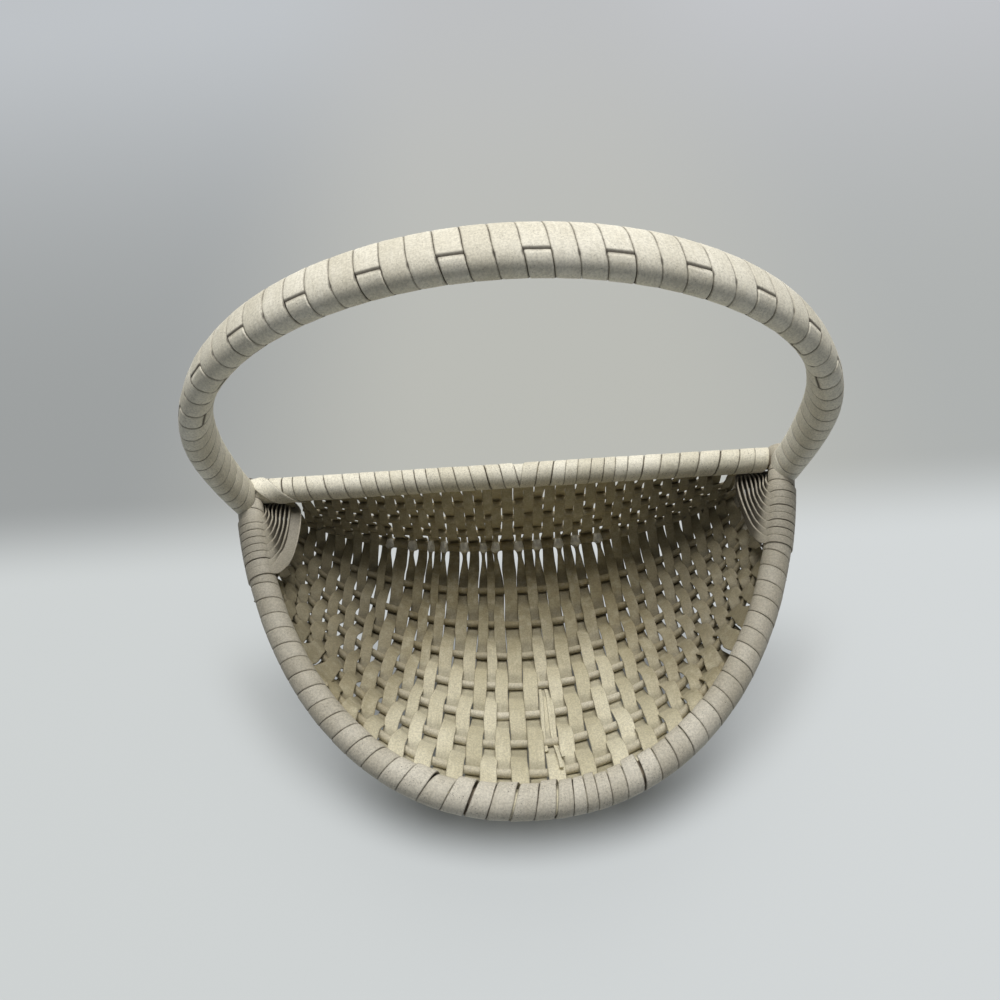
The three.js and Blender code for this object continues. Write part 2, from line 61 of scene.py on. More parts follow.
# Sizes shared with the solids, in millimetres, with the back bar's axis as origin
HALF_WIDTH = 150
BACK_HEIGHT = 74
RIM_REACH = 173
RIM_DROP = 15
SEAM_LEAD = 66
SEAM_SLOPE = math.radians(25)
RIM_LEAD = 66
RIM_SLOPE = math.radians(43)
BOW_FULLNESS = 2.175
BOW_CUT = 0.346
HANDLE_RISE = 155
HANDLE_SHOULDER = 47
HANDLE_FOOT_HALF_WIDTH = 149
HANDLE_HALF_WIDTH = 155.5
BAR_RADIUS = 5.7
RIB_RADIUS = 2.1
RIB_TIP = 0.3
RIB_FULL_AT = 0.85
BOWL_RIBS = 7
FIRST_RIB_GAP = 30
BACK_RIBS = 3
BACK_TOP_GAP = 27
PASSES = 48
PASSES_PER_WEAVER = 4
WEAVE_HALF_WIDTH = 130
WEAVE_SPREAD = 0.12
RIM_BARE = 66
RIM_SPREAD = 0.08
WALL_PLANE = 6.79
HANDLE_PLANE = -6.93
HANDLE_TURNS = 54
LASHING_START = 26.1
LASHING_TURNS = 8
LASHING_PITCH = 4.6

# Sizes of the looks only, in millimetres
BAR_OUTER = 7.05
RIM_OUTER = 6.95
HANDLE_OUTER = (7.3, 13.72)
HANDLE_SQUARENESS = 2.35
REED_THICKNESS = 0.85
WRAP_THICKNESS = 0.95
WRAP_CROWN = 0.07
FOOT_HEIGHT = 2.0
FOOT_TAPERS = (0.92, 0.76)
FOOT_TAPER_RUN = 75
SEAM_LOOK = 2.9
SECTION_POINTS = 12
UV_LENGTH = 10
MILLIMETRE = 0.001

rng = random.Random(870)


# Helpers for paths and noise
def unit(vectors):
    lengths = np.linalg.norm(vectors, axis=-1, keepdims=True)
    return vectors / np.maximum(lengths, 1e-9)


def smooth(share):
    share = np.clip(share, 0, 1)
    return share * share * (3 - 2 * share)


def ramp(value, start, full):
    """Smooth rise from 0 at start to 1 at full, which may lie on either side of it."""
    return smooth((value - start) / (full - start))


def hump(value, middle, reach, power=4):
    """1 at the middle, falling away to 0 beyond the reach."""
    return np.exp(-(((value - middle) / reach) ** power))


def columns(*values):
    """Numbers side by side in rows, such as the coordinates of points."""
    return np.stack(np.broadcast_arrays(*values), axis=-1)


def heading_of(path):
    """Direction of a path at each of its points."""
    return unit(np.gradient(path, axis=0))


def running_sum(steps):
    """Sums of the steps so far, from 0 up to the whole."""
    return np.concatenate([[0], np.cumsum(steps)])


def run_along(points):
    """Length along a path at each of its points."""
    return running_sum(np.linalg.norm(np.diff(points, axis=0), axis=1))


def follow(at, run, rows):
    """Rows of numbers read off at places along a run."""
    return columns(*(np.interp(at, run, column) for column in rows.T))


def signed_power(value, power):
    """Power of a number's size, with the number's own sign."""
    return np.sign(value) * np.abs(value) ** power


def strays(count, size):
    """Random shifts of up to that size either way."""
    return np.array([rng.uniform(-size, size) for _ in range(count)])


def wander(size, run):
    """A smooth wandering value of about that size, changing over about that run."""
    phases = [rng.uniform(0, 2 * math.pi) for _ in range(3)]
    rates = [2 * math.pi / (run * rng.uniform(0.8, 1.25) * scale) for scale in (1, 0.53, 0.29)]
    weights = (0.6, 0.35, 0.2)

    def value(at):
        total = 0
        for phase, rate, weight in zip(phases, rates, weights):
            total = total + weight * np.sin(np.asarray(at) * rate + phase)
        return size * total

    return value


def through(points, per_span):
    """Smooth curve through points, with an even count of samples in every span."""
    points = np.asarray(points, float)
    gaps = np.linalg.norm(np.diff(points, axis=0), axis=1)[:, None]
    slopes = np.diff(points, axis=0) / gaps
    inner = (slopes[:-1] * gaps[1:] + slopes[1:] * gaps[:-1]) / (gaps[:-1] + gaps[1:])
    slopes = np.vstack([slopes[:1], inner, slopes[-1:]])
    share = np.linspace(0, 1, per_span, endpoint=False)[:, None]
    ease = share**2 * (3 - 2 * share)
    spans = []
    for i, gap in enumerate(gaps):
        leaving = gap * slopes[i] * share * (1 - share) ** 2
        arriving = gap * slopes[i + 1] * share**2 * (share - 1)
        spans.append(points[i] * (1 - ease) + points[i + 1] * ease + leaving + arriving)
    return np.vstack(spans + [points[-1:]])


def between(values, per_span):
    """Values in even steps, with the same count of samples in every span."""
    values = np.asarray(values, float)
    at = np.arange((len(values) - 1) * per_span + 1) / per_span
    return follow(at, np.arange(len(values)), values.reshape(len(values), -1))


# Meshes from rings of points
class Shell:
    def __init__(self):
        self.points = []
        self.faces = []
        self.uvs = []
        self.tones = []
        self.grimes_and_shades = []
        self.count = 0

    def sweep(self, rings, uvs, tone, grime_and_shade=0.0):
        """Closed skin over rings of points, shape (rings, points, 3), capped at both ends."""
        steps, sides = rings.shape[:2]
        first = self.count
        self.points.append(rings.reshape(-1, 3))
        self.uvs.append(uvs.reshape(-1, 2))
        self.tones.append(np.broadcast_to(np.asarray(tone, float).reshape(-1, 1), (steps, sides)).ravel())
        self.grimes_and_shades.append(np.broadcast_to(np.asarray(grime_and_shade, float), (steps, sides)).ravel())
        index = first + np.arange(steps * sides).reshape(steps, sides)
        after = np.roll(index, -1, axis=1)
        walls = np.stack([index[:-1], after[:-1], after[1:], index[1:]], axis=-1)
        self.faces.extend(walls.reshape(-1, 4).tolist())
        self.faces.append(index[0, ::-1].tolist())
        self.faces.append(index[-1].tolist())
        self.count += steps * sides

    def piece(self, name, material, nodes):
        points = np.vstack(self.points) - (0, WALL_PLANE, 0)
        mesh = bpy.data.meshes.new(name)
        mesh.from_pydata((points * MILLIMETRE).tolist(), [], self.faces)
        loops = np.zeros(len(mesh.loops), np.int32)
        mesh.loops.foreach_get("vertex_index", loops)
        layer = mesh.uv_layers.new(name="Reed")
        layer.data.foreach_set("uv", np.vstack(self.uvs)[loops].astype(np.float32).ravel())
        for label, values in (("tone", self.tones), ("grime_and_shade", self.grimes_and_shades)):
            layer = mesh.attributes.new(label, "FLOAT", "POINT")
            layer.data.foreach_set("value", np.concatenate(values).astype(np.float32))
        mesh.polygons.foreach_set("use_smooth", np.ones(len(mesh.polygons), bool))
        mesh.materials.append(material)
        mesh.update()
        fix_facing(mesh)
        obj = bpy.data.objects.new(name, mesh)
        bpy.context.scene.collection.objects.link(obj)
        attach(obj, "root")
        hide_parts(*nodes)


def fix_facing(mesh):
    """Turns every island's faces outwards."""
    work = bmesh.new()
    work.from_mesh(mesh)
    bmesh.ops.recalc_face_normals(work, faces=work.faces)
    work.to_mesh(mesh)
    work.free()


# Section of a flat reed: a rectangle with rounded edges, one unit wide and one unit thick
SECTION_TURNS = 2 * math.pi * (np.arange(SECTION_POINTS) + 0.5) / SECTION_POINTS
SECTION_ACROSS = 0.5 * signed_power(np.cos(SECTION_TURNS), 0.2)
SECTION_ABOVE = 0.5 * signed_power(np.sin(SECTION_TURNS), 0.45)


def reed_uvs(run):
    """Texture places on a strip: lengthwise in centimetres, and from 0 to 1 across."""
    return columns(run[:, None] / UV_LENGTH, SECTION_ACROSS + 0.5)


def rings_round(path, wide, high, across, above):
    """Rings of points round a path, from their places across and above it."""
    return path[:, None] + wide[:, None] * across[..., None] + high[:, None] * above[..., None]


def strip(shell, path, normals, widths, thickness, tone, twist=0.0, grime_and_shade=0.0, rounded=0.0):
    """Flat reed along a path, with its faces square to the normals, rounded where asked."""
    headings = heading_of(path)
    across = unit(np.cross(headings, normals))
    upright = np.cross(across, headings)
    turn, widths, thickness, rounded = (
        np.broadcast_to(np.asarray(value, float), len(path))[:, None]
        for value in (twist, widths, thickness, rounded)
    )
    wide = across * np.cos(turn) + upright * np.sin(turn)
    high = upright * np.cos(turn) - across * np.sin(turn)
    section_across = SECTION_ACROSS * (1 - rounded) + 0.5 * np.cos(SECTION_TURNS) * rounded
    section_above = SECTION_ABOVE * (1 - rounded) + 0.5 * np.sin(SECTION_TURNS) * rounded
    rings = rings_round(path, wide, high, widths * section_across, thickness * section_above)
    grime_and_shade = np.asarray(grime_and_shade, float)
    shell.sweep(rings, reed_uvs(run_along(path)), tone, grime_and_shade[:, None] if grime_and_shade.ndim == 1 else grime_and_shade)


# The bow that every rod follows
BOW_WIDTH = HALF_WIDTH / (1 - BOW_CUT**BOW_FULLNESS) ** (1 / BOW_FULLNESS)
SLOPE_STEP = 0.05


def bow_depth(x):
    level = (1 - (np.abs(x) / BOW_WIDTH) ** BOW_FULLNESS) ** (1 / BOW_FULLNESS)
    return (level - BOW_CUT) / (1 - BOW_CUT)


def bow_half_width(depth):
    level = BOW_CUT + (1 - BOW_CUT) * depth
    return BOW_WIDTH * (1 - level**BOW_FULLNESS) ** (1 / BOW_FULLNESS)


def bow_slope(x):
    return (bow_depth(x + SLOPE_STEP) - bow_depth(x - SLOPE_STEP)) / (2 * SLOPE_STEP)


# Profile at the middle: down the back panel, then along the bowl to the rim
SEAM_POINT = np.array([0, -BACK_HEIGHT])
RIM_POINT = np.array([-RIM_REACH, -RIM_DROP])
SEAM_PULL = SEAM_POINT + SEAM_LEAD * np.array([-math.cos(SEAM_SLOPE), -math.sin(SEAM_SLOPE)])
RIM_PULL = RIM_POINT + RIM_LEAD * np.array([math.cos(RIM_SLOPE), -math.sin(RIM_SLOPE)])
share = np.linspace(0, 1, 2001)[:, None]
bowl_curve = (1 - share) ** 3 * SEAM_POINT + 3 * share * (1 - share) ** 2 * SEAM_PULL
bowl_curve = bowl_curve + 3 * share**2 * (1 - share) * RIM_PULL + share**3 * RIM_POINT
bowl_run = run_along(bowl_curve)
BOWL_LENGTH = bowl_run[-1]
PROFILE_LENGTH = BACK_HEIGHT + BOWL_LENGTH
PROFILE_STEP = 0.5
PROFILE_SPARE = 20
profile_run = np.arange(-PROFILE_SPARE, PROFILE_LENGTH + PROFILE_SPARE, PROFILE_STEP)


def sharp_profile(along):
    along = np.asarray(along, float)
    inside = np.clip(along - BACK_HEIGHT, 0, BOWL_LENGTH)
    past = np.maximum(along - PROFILE_LENGTH, 0)
    y = np.interp(inside, bowl_run, bowl_curve[:, 0]) - past * math.cos(RIM_SLOPE)
    z = np.interp(inside, bowl_run, bowl_curve[:, 1]) + past * math.sin(RIM_SLOPE)
    panel = along < BACK_HEIGHT
    return columns(np.where(panel, 0, y), np.where(panel, -along, z))


# Reed rounds the seam softly instead of folding at it
SEAM_SOFTNESS = 3.2
SEAM_REACH = 11
SEAM_SPAN = 10
kernel_run = np.arange(-SEAM_SPAN, SEAM_SPAN + 0.1, PROFILE_STEP)
kernel = np.exp(-((kernel_run / SEAM_SOFTNESS) ** 2) / 2)
sharp = sharp_profile(profile_run)
soft = columns(*(np.convolve(column, kernel / kernel.sum(), "same") for column in sharp.T))
near_seam = hump(profile_run, BACK_HEIGHT, SEAM_REACH)[:, None]
profile_points = sharp * (1 - near_seam) + soft * near_seam
profile_headings = heading_of(profile_points)


def profile(along):
    y = np.interp(along, profile_run, profile_points[:, 0])
    z = np.interp(along, profile_run, profile_points[:, 1])
    return y, z


def inward(along):
    """Direction into the basket, square to the profile, in the plane of a pass."""
    y = np.interp(along, profile_run, profile_headings[:, 0])
    z = np.interp(along, profile_run, profile_headings[:, 1])
    return unit(columns(0, z, -y))


def woven(x, along):
    y, z = profile(along)
    depth = bow_depth(x)
    return columns(x, y * depth, z * depth)


def along_rods(x, along):
    y, z = profile(along)
    slope = bow_slope(x)
    return columns(1.0, y * slope, z * slope)


# Rods: place along the profile, radius and half length
rods = []
for i in range(BACK_RIBS):
    gap = (BACK_HEIGHT - BACK_TOP_GAP) / BACK_RIBS
    rods.append({"node": f"back_rib_{i + 1}", "along": BACK_TOP_GAP + gap * i, "radius": RIB_RADIUS})
rods.append({"node": "seam_rod", "along": BACK_HEIGHT, "radius": SEAM_LOOK})
for i in range(BOWL_RIBS):
    gap = (BOWL_LENGTH - FIRST_RIB_GAP) / BOWL_RIBS
    along = BACK_HEIGHT + FIRST_RIB_GAP + gap * i
    rods.append({"node": f"bowl_rib_{i + 1}", "along": along, "radius": RIB_RADIUS})
for rod in rods:
    rod["end"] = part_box(rod["node"])[1].x / MILLIMETRE


def rod_radius(rod, depth):
    return rod["radius"] * np.minimum(1, RIB_TIP + (1 - RIB_TIP) * depth / RIB_FULL_AT)


# Bound sticks: a middle line in one plane with an oval section
class Stick:
    def __init__(self, points, side, sizes, squareness=2.0, tapers=(1, 1), taper_run=1):
        points = np.asarray(points, float)
        self.run = run_along(points)
        self.length = self.run[-1]
        self.points = points
        self.side = unit(np.asarray(side, float))
        self.headings = heading_of(points)
        self.outs = unit(np.cross(self.headings, self.side))
        self.sizes = sizes
        self.squareness = squareness
        self.tapers = tapers
        self.taper_run = taper_run

    def size(self, which, along):
        from_end = np.minimum(along, self.length - along) / self.taper_run
        return self.sizes[which] * (self.tapers[which] + (1 - self.tapers[which]) * smooth(from_end))

    def middle(self, along):
        inside = np.clip(along, 0, self.length)
        centre = follow(inside, self.run, self.points)
        return centre + self.heading(along) * (np.asarray(along) - inside)[..., None]

    def heading(self, along):
        return unit(follow(along, self.run, self.headings))

    def out(self, along):
        return unit(follow(along, self.run, self.outs))

    def at(self, along, angle, above):
        """Point at a length along, an angle round and a height over the bound surface."""
        along, angle, above = np.broadcast_arrays(along, angle, above)
        power = 2 / self.squareness
        outwards = signed_power(np.cos(angle), power) * (self.size(0, along) + above)
        sideways = signed_power(np.sin(angle), power) * (self.size(1, along) + above)
        return self.middle(along) + self.out(along) * outwards[..., None] + self.side * sideways[..., None]


# Front rim, with a short straight tail past each end of the bow
turn = np.linspace(0, math.pi, 801)
rim_x = -np.sign(np.cos(turn)) * bow_half_width(np.sin(turn))
rim_curve = columns(rim_x, RIM_POINT[0] * np.sin(turn), RIM_POINT[1] * np.sin(turn))
rim_run = run_along(rim_curve)
RIM_HALF_ARC = rim_run[-1] / 2
tail_heading = unit(rim_curve[0] - rim_curve[5])
tail = rim_curve[0] + tail_heading * BAR_RADIUS
rim_curve = np.vstack([tail, rim_curve, tail * (-1, 1, 1)])
rim = Stick(rim_curve, (0, RIM_DROP, -RIM_REACH), (RIM_OUTER, RIM_OUTER))

# Back bar
BAR_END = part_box("back_bar")[1].x / MILLIMETRE
bar_curve = np.linspace((-BAR_END, 0, 0), (BAR_END, 0, 0), 101)
bar = Stick(bar_curve, (0, 0, -1), (BAR_OUTER, BAR_OUTER))

# Handle: legs that bow out a little, and a half ellipse over the shoulders
leg_turn = math.acos(HANDLE_FOOT_HALF_WIDTH / HANDLE_HALF_WIDTH)
leg_rise = HANDLE_SHOULDER / math.sin(leg_turn)
foot_turn = math.asin((HANDLE_SHOULDER - FOOT_HEIGHT) / leg_rise)
arch_rise = HANDLE_RISE - HANDLE_SHOULDER
leg = np.linspace(foot_turn, 0, 60, endpoint=False)
left_leg = columns(-HANDLE_HALF_WIDTH * np.cos(leg), HANDLE_SHOULDER - leg_rise * np.sin(leg))
over = np.linspace(math.pi, 0, 500)
crown = columns(HANDLE_HALF_WIDTH * np.cos(over), HANDLE_SHOULDER + arch_rise * np.sin(over))
flat_arch = np.vstack([left_leg, crown, (left_leg * (-1, 1))[::-1]])
arch = columns(flat_arch[:, 0], HANDLE_PLANE, flat_arch[:, 1])
handle = Stick(arch, (0, 1, 0), HANDLE_OUTER, HANDLE_SQUARENESS, FOOT_TAPERS, FOOT_TAPER_RUN)


# Materials
def from_srgb(red, green, blue):
    """Linear colour of an sRGB colour given in 0 to 255."""
    def linear(value):
        value = value / 255
        return value / 12.92 if value <= 0.04045 else ((value + 0.055) / 1.055) ** 2.4

    return (linear(red), linear(green), linear(blue), 1)


class Nodes:
    def __init__(self, name):
        self.material = bpy.data.materials.new(name)
        self.material.use_nodes = True
        self.tree = self.material.node_tree
        self.tree.nodes.clear()

    def add(self, kind, inputs=None, **settings):
        node = self.tree.nodes.new(kind)
        for key, value in settings.items():
            setattr(node, key, value)
        for key, value in (inputs or {}).items():
            if isinstance(value, bpy.types.NodeSocket):
                self.tree.links.new(value, node.inputs[key])
            else:
                node.inputs[key].default_value = value
        return node

    def noise(self, vector, scale, detail, roughness):
        inputs = {"Vector": vector, "Scale": scale, "Detail": detail, "Roughness": roughness}
        return self.add("ShaderNodeTexNoise", inputs).outputs["Fac"]

    def span(self, value, low, high, to_low=0.0, to_high=1.0):
        inputs = {"Value": value, "From Min": low, "From Max": high, "To Min": to_low, "To Max": to_high}
        return self.add("ShaderNodeMapRange", inputs, interpolation_type="SMOOTHSTEP").outputs["Result"]

    def math(self, operation, a, b=0.0):
        return self.add("ShaderNodeMath", {0: a, 1: b}, operation=operation).outputs[0]

    def plus(self, a, b):
        return self.math("ADD", a, b)

    def minus(self, a, b):
        return self.math("SUBTRACT", a, b)

    def times(self, a, b):
        return self.math("MULTIPLY", a, b)

    def size(self, value):
        return self.math("ABSOLUTE", value)

    def mix(self, amount, a, b, blend="MIX"):
        inputs = {0: amount, 6: a, 7: b}
        return self.add("ShaderNodeMix", inputs, data_type="RGBA", blend_type=blend).outputs[2]

    def stretch(self, vector, scale):
        return self.add("ShaderNodeMapping", {"Vector": vector, "Scale": scale}).outputs["Vector"]

    def parts(self, vector):
        return self.add("ShaderNodeSeparateXYZ", {"Vector": vector}).outputs

    def coat(self, colour, rough, height, strength, depth, specular):
        """Plain surface with a bump of the given strength and depth."""
        bump = self.add("ShaderNodeBump", {"Height": height, "Strength": strength, "Distance": depth})
        inputs = {"Base Color": colour, "Roughness": rough, "Specular IOR Level": specular}
        inputs["Normal"] = bump.outputs["Normal"]
        shader = self.add("ShaderNodeBsdfPrincipled", inputs)
        self.add("ShaderNodeOutputMaterial", {"Surface": shader.outputs["BSDF"]})
        return self.material


# Noise: cells in a metre, or stretched along and across the reed
CLOUDS = 45.0
BLOTCHES = 190.0
GRAINS = 260.0
GRIT = 1000.0
FLECKS = 1900.0
STREAKS = (0.9, 9, 1)
FIBRES = (1.5, 34, 1)

# Colours of wear, dirt, stain and bare wood, and of painted shade and painted highlight
FLECK_COLOUR = (0.075, 0.062, 0.045, 1)
EDGE_COLOUR = (0.11, 0.09, 0.062, 1)
STAIN_AND_SHADE_COLOUR = (0.33, 0.275, 0.155, 1)
WALL_SHADE_COLOUR = (0.17, 0.15, 0.105, 1)
KNOB_CLEAN_AND_HIGHLIGHT_COLOUR = (0.95, 0.915, 0.80, 1)
SIDE_SHADE_COLOUR = (0.36, 0.325, 0.25, 1)
GRIME_AND_SHADE_COLOUR = (0.045, 0.036, 0.026, 1)
DARK_WOOD = (0.10, 0.08, 0.055, 1)
PALE_WOOD = (0.26, 0.215, 0.15, 1)

# Where the stain, which is partly painted shade, and the painted shade begin and are full, in metres, and the
# tones that mark a knob's top, painted clean and lit
STAIN_AND_SHADE_DEPTH = (-0.125, -0.035)
STAIN_AND_SHADE_SIDES = (0.035, 0.12)
STAIN_AND_SHADE_SIDE_SHIFT = 0.11
WALL_SHADE_SIDES = (0.045, 0.1)
WALL_SHADE_DEPTH = (-0.14, -0.08)
SEAM_DARK = (0.004, 0.012)
SIDE_SHADE_RUN = (0.05, 0.13)
KNOB_TOP_TONES = (1.0, 1.6)
SEAM_LEVEL = BACK_HEIGHT * MILLIMETRE


def painted_reed(name, pale, deep, worn, speckle, edge_dirt, grain, stain_and_shade_amount=0.0, side_shade=0.0):
    """Thin off-white paint over split reed: streaks along the strip, dark flecks, grubby edges, grime and
    painted shade; where asked, stain that is partly painted shade, painted shade on the side walls and at the
    sides, and knob tops painted clean and lit.
    """
    nodes = Nodes(name)
    place = nodes.add("ShaderNodeTexCoord").outputs["Object"]
    parts = nodes.parts(place)
    aside = nodes.size(parts["X"])
    reed = nodes.add("ShaderNodeUVMap", uv_map="Reed").outputs["UV"]
    across = nodes.parts(reed)["Y"]
    tone = nodes.add("ShaderNodeAttribute", attribute_name="tone").outputs["Fac"]
    grime_and_shade = nodes.add("ShaderNodeAttribute", attribute_name="grime_and_shade").outputs["Fac"]

    streak = nodes.noise(nodes.stretch(reed, STREAKS), 1.0, 4.0, 0.6)
    fibre = nodes.noise(nodes.stretch(reed, FIBRES), 1.0, 3.0, 0.6)
    cloud = nodes.noise(place, CLOUDS, 3.0, 0.55)
    fleck = nodes.noise(place, FLECKS, 2.0, 0.6)
    blotch = nodes.noise(place, BLOTCHES, 3.0, 0.6)

    mottle = nodes.plus(nodes.times(cloud, 0.55), nodes.times(streak, 0.45))
    mottle = nodes.plus(mottle, nodes.times(nodes.minus(tone, 0.5), 0.35))
    colour = nodes.mix(nodes.span(mottle, 0.3, 0.72), deep, pale)
    bare = nodes.times(nodes.span(fibre, 0.6, 0.74), nodes.span(blotch, 0.45, 0.62))
    colour = nodes.mix(nodes.times(bare, grain), colour, worn)
    dust = nodes.times(nodes.span(fleck, 0.6, 0.7), nodes.span(blotch, 0.36, 0.6))
    colour = nodes.mix(nodes.times(dust, speckle), colour, FLECK_COLOUR)
    from_middle = nodes.size(nodes.minus(across, 0.5))
    edge = nodes.times(nodes.span(from_middle, 0.43, 0.5), nodes.span(blotch, 0.3, 0.6, 0.45, 1.0))
    colour = nodes.mix(nodes.times(edge, edge_dirt), colour, EDGE_COLOUR)

    if stain_and_shade_amount:
        # Stain, partly real and partly painted shade: browner down the panel, strongest at the seam, reaching
        # further forward at the bowl's sides.
        depth = nodes.plus(parts["Y"], nodes.span(aside, *STAIN_AND_SHADE_SIDES, 0.0, STAIN_AND_SHADE_SIDE_SHIFT))
        depth = nodes.plus(depth, nodes.times(nodes.minus(cloud, 0.5), 0.05))
        stain_and_shade = nodes.times(nodes.span(depth, *STAIN_AND_SHADE_DEPTH), nodes.span(blotch, 0.25, 0.6, 0.6, 1.0))
        off_knob_top = nodes.span(tone, *KNOB_TOP_TONES, 1.0, 0.0)
        stain_and_shade = nodes.times(nodes.times(stain_and_shade, off_knob_top), stain_and_shade_amount)
        from_seam = nodes.size(nodes.plus(parts["Z"], SEAM_LEVEL))
        stain_and_shade = nodes.times(stain_and_shade, nodes.span(from_seam, *SEAM_DARK, 1.2, 1.0))
        colour = nodes.mix(stain_and_shade, colour, STAIN_AND_SHADE_COLOUR)
        # Painted shade on the bowl's side walls, fading out towards the front; none on knob tops.
        wall_shade = nodes.times(nodes.span(aside, *WALL_SHADE_SIDES), nodes.span(parts["Y"], *WALL_SHADE_DEPTH, 0.0, 0.55))
        colour = nodes.mix(nodes.times(wall_shade, off_knob_top), colour, WALL_SHADE_COLOUR)
        # Knob tops painted near-white: clean paint and painted highlight.
        colour = nodes.mix(nodes.span(tone, *KNOB_TOP_TONES), colour, KNOB_CLEAN_AND_HIGHLIGHT_COLOUR)
    if side_shade:
        # Painted shade towards the sides.
        colour = nodes.mix(nodes.span(aside, *SIDE_SHADE_RUN, 0.0, side_shade), colour, SIDE_SHADE_COLOUR)

    grit = nodes.span(nodes.noise(place, GRIT, 2.0, 0.7), 0.35, 0.65, 0.84, 1.05)
    grey = nodes.add("ShaderNodeCombineColor", {0: grit, 1: grit, 2: grit}).outputs[0]
    colour = nodes.mix(1.0, colour, grey, "MULTIPLY")
    # Darker by the mesh's values: grime, and painted shade in recesses, under parts and behind rods.
    colour = nodes.mix(nodes.times(nodes.span(grime_and_shade, 0.25, 0.9), 0.85), colour, GRIME_AND_SHADE_COLOUR)

    height = nodes.plus(nodes.times(fibre, 0.5), nodes.times(streak, 0.4))
    height = nodes.minus(height, nodes.times(dust, 0.25))
    return nodes.coat(colour, nodes.span(streak, 0.3, 0.7, 0.5, 0.72), height, 0.35, 0.0004, 0.35)


def bare_stick(name):
    """Old unpainted wood, seen in the narrow gaps between turns and at cut ends."""
    nodes = Nodes(name)
    grain = nodes.noise(nodes.add("ShaderNodeTexCoord").outputs["Object"], GRAINS, 4.0, 0.6)
    colour = nodes.mix(nodes.span(grain, 0.35, 0.7), DARK_WOOD, PALE_WOOD)
    return nodes.coat(colour, nodes.span(grain, 0.3, 0.7, 0.7, 0.9), grain, 0.4, 0.0005, 0.5)


wrap_paint = painted_reed(
    "wrap_paint", (0.87, 0.835, 0.715, 1), (0.71, 0.67, 0.545, 1), (0.42, 0.36, 0.25, 1),
    speckle=0.55, edge_dirt=0.6, grain=0.45,
)
bar_paint = painted_reed(
    "bar_paint", (0.84, 0.805, 0.68, 1), (0.68, 0.64, 0.51, 1), (0.40, 0.34, 0.23, 1),
    speckle=0.95, edge_dirt=0.7, grain=0.5,
)
# Rim and lashing paint, darker towards the sides as painted shade.
grubby_shaded_paint = painted_reed(
    "grubby_shaded_paint", (0.73, 0.69, 0.585, 1), (0.57, 0.53, 0.43, 1), (0.36, 0.30, 0.21, 1),
    speckle=0.9, edge_dirt=0.6, grain=0.55, side_shade=0.42,
)
weave_paint = painted_reed(
    "weave_paint", (0.79, 0.74, 0.56, 1), (0.60, 0.55, 0.385, 1), (0.36, 0.30, 0.19, 1),
    speckle=0.45, edge_dirt=0.5, grain=0.6, stain_and_shade_amount=0.75,
)
rod_paint = painted_reed(
    "rod_paint", (0.77, 0.72, 0.58, 1), (0.62, 0.57, 0.43, 1), (0.30, 0.25, 0.16, 1),
    speckle=0.5, edge_dirt=0.0, grain=0.6, stain_and_shade_amount=0.9,
)
stick_wood = bare_stick("stick_wood")
for node in ("back_bar", "front_rim"):
    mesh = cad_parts[node].data
    mesh.materials.clear()
    mesh.materials.append(stick_wood)


# Round rods
ROD_SIDES = 10
ROD_STEPS = 141
ROD_TILT = np.array([0.0, 0.6, 0.8])
ROD_SWAY = np.array([0, 0.4, 0.9])


def round_rod(rod):
    end = rod["end"]
    x = np.linspace(-end, end, ROD_STEPS)
    bend_out = wander(0.35, 70)(x)[:, None] * inward(rod["along"])
    bend_up = wander(0.3, 60)(x)[:, None] * ROD_SWAY
    path = woven(x, rod["along"]) + bend_out + bend_up
    headings = heading_of(path)
    side = unit(np.cross(headings, ROD_TILT))
    up = np.cross(side, headings)
    around = 2 * math.pi * np.arange(ROD_SIDES) / ROD_SIDES
    radius = (rod_radius(rod, bow_depth(x)) * (1 + wander(0.05, 40)(x)))[:, None]
    rings = rings_round(path, side, up, radius * np.cos(around), radius * np.sin(around))
    uvs = columns((x + end)[:, None] / UV_LENGTH, np.abs(around / math.pi - 1))
    shell = Shell()
    shell.sweep(rings, uvs, rng.random())
    shell.piece(rod["node"] + "_round", rod_paint, [rod["node"]])


for rod in rods:
    round_rod(rod)


# Lanes of the weave: level down the panel, then fanning out to even places along the rim
RIM_STRAY = 0.8
SEAM_STRAY = 0.4
FIRST_KNOB = 10
KNOB_PLACES = (-80, -66, -55, -47, -34, -22, -14, 1, 12, 26, 37, 51)


def spread(place, amount):
    return place + amount * np.sin(math.pi * place) / math.pi


lane_places = 2 * (np.arange(PASSES) + 0.5) / PASSES - 1
bar_lanes = WEAVE_HALF_WIDTH * spread(lane_places, WEAVE_SPREAD)
rim_arcs = (RIM_HALF_ARC - RIM_BARE) * spread(lane_places, RIM_SPREAD) + RIM_HALF_ARC
rim_arcs = rim_arcs + strays(PASSES, RIM_STRAY)
rim_lanes = np.interp(rim_arcs, rim_run, rim_x)
seam_lanes = bar_lanes + strays(PASSES, SEAM_STRAY)
knobs = np.zeros(PASSES, bool)
for i, place in enumerate(KNOB_PLACES):
    seam_lanes[FIRST_KNOB + 2 * i] = place
    knobs[FIRST_KNOB + 2 * i] = True
for i in range(FIRST_KNOB + 1, FIRST_KNOB + 2 * len(KNOB_PLACES) - 2, 2):
    seam_lanes[i] = (seam_lanes[i - 1] + seam_lanes[i + 1]) / 2

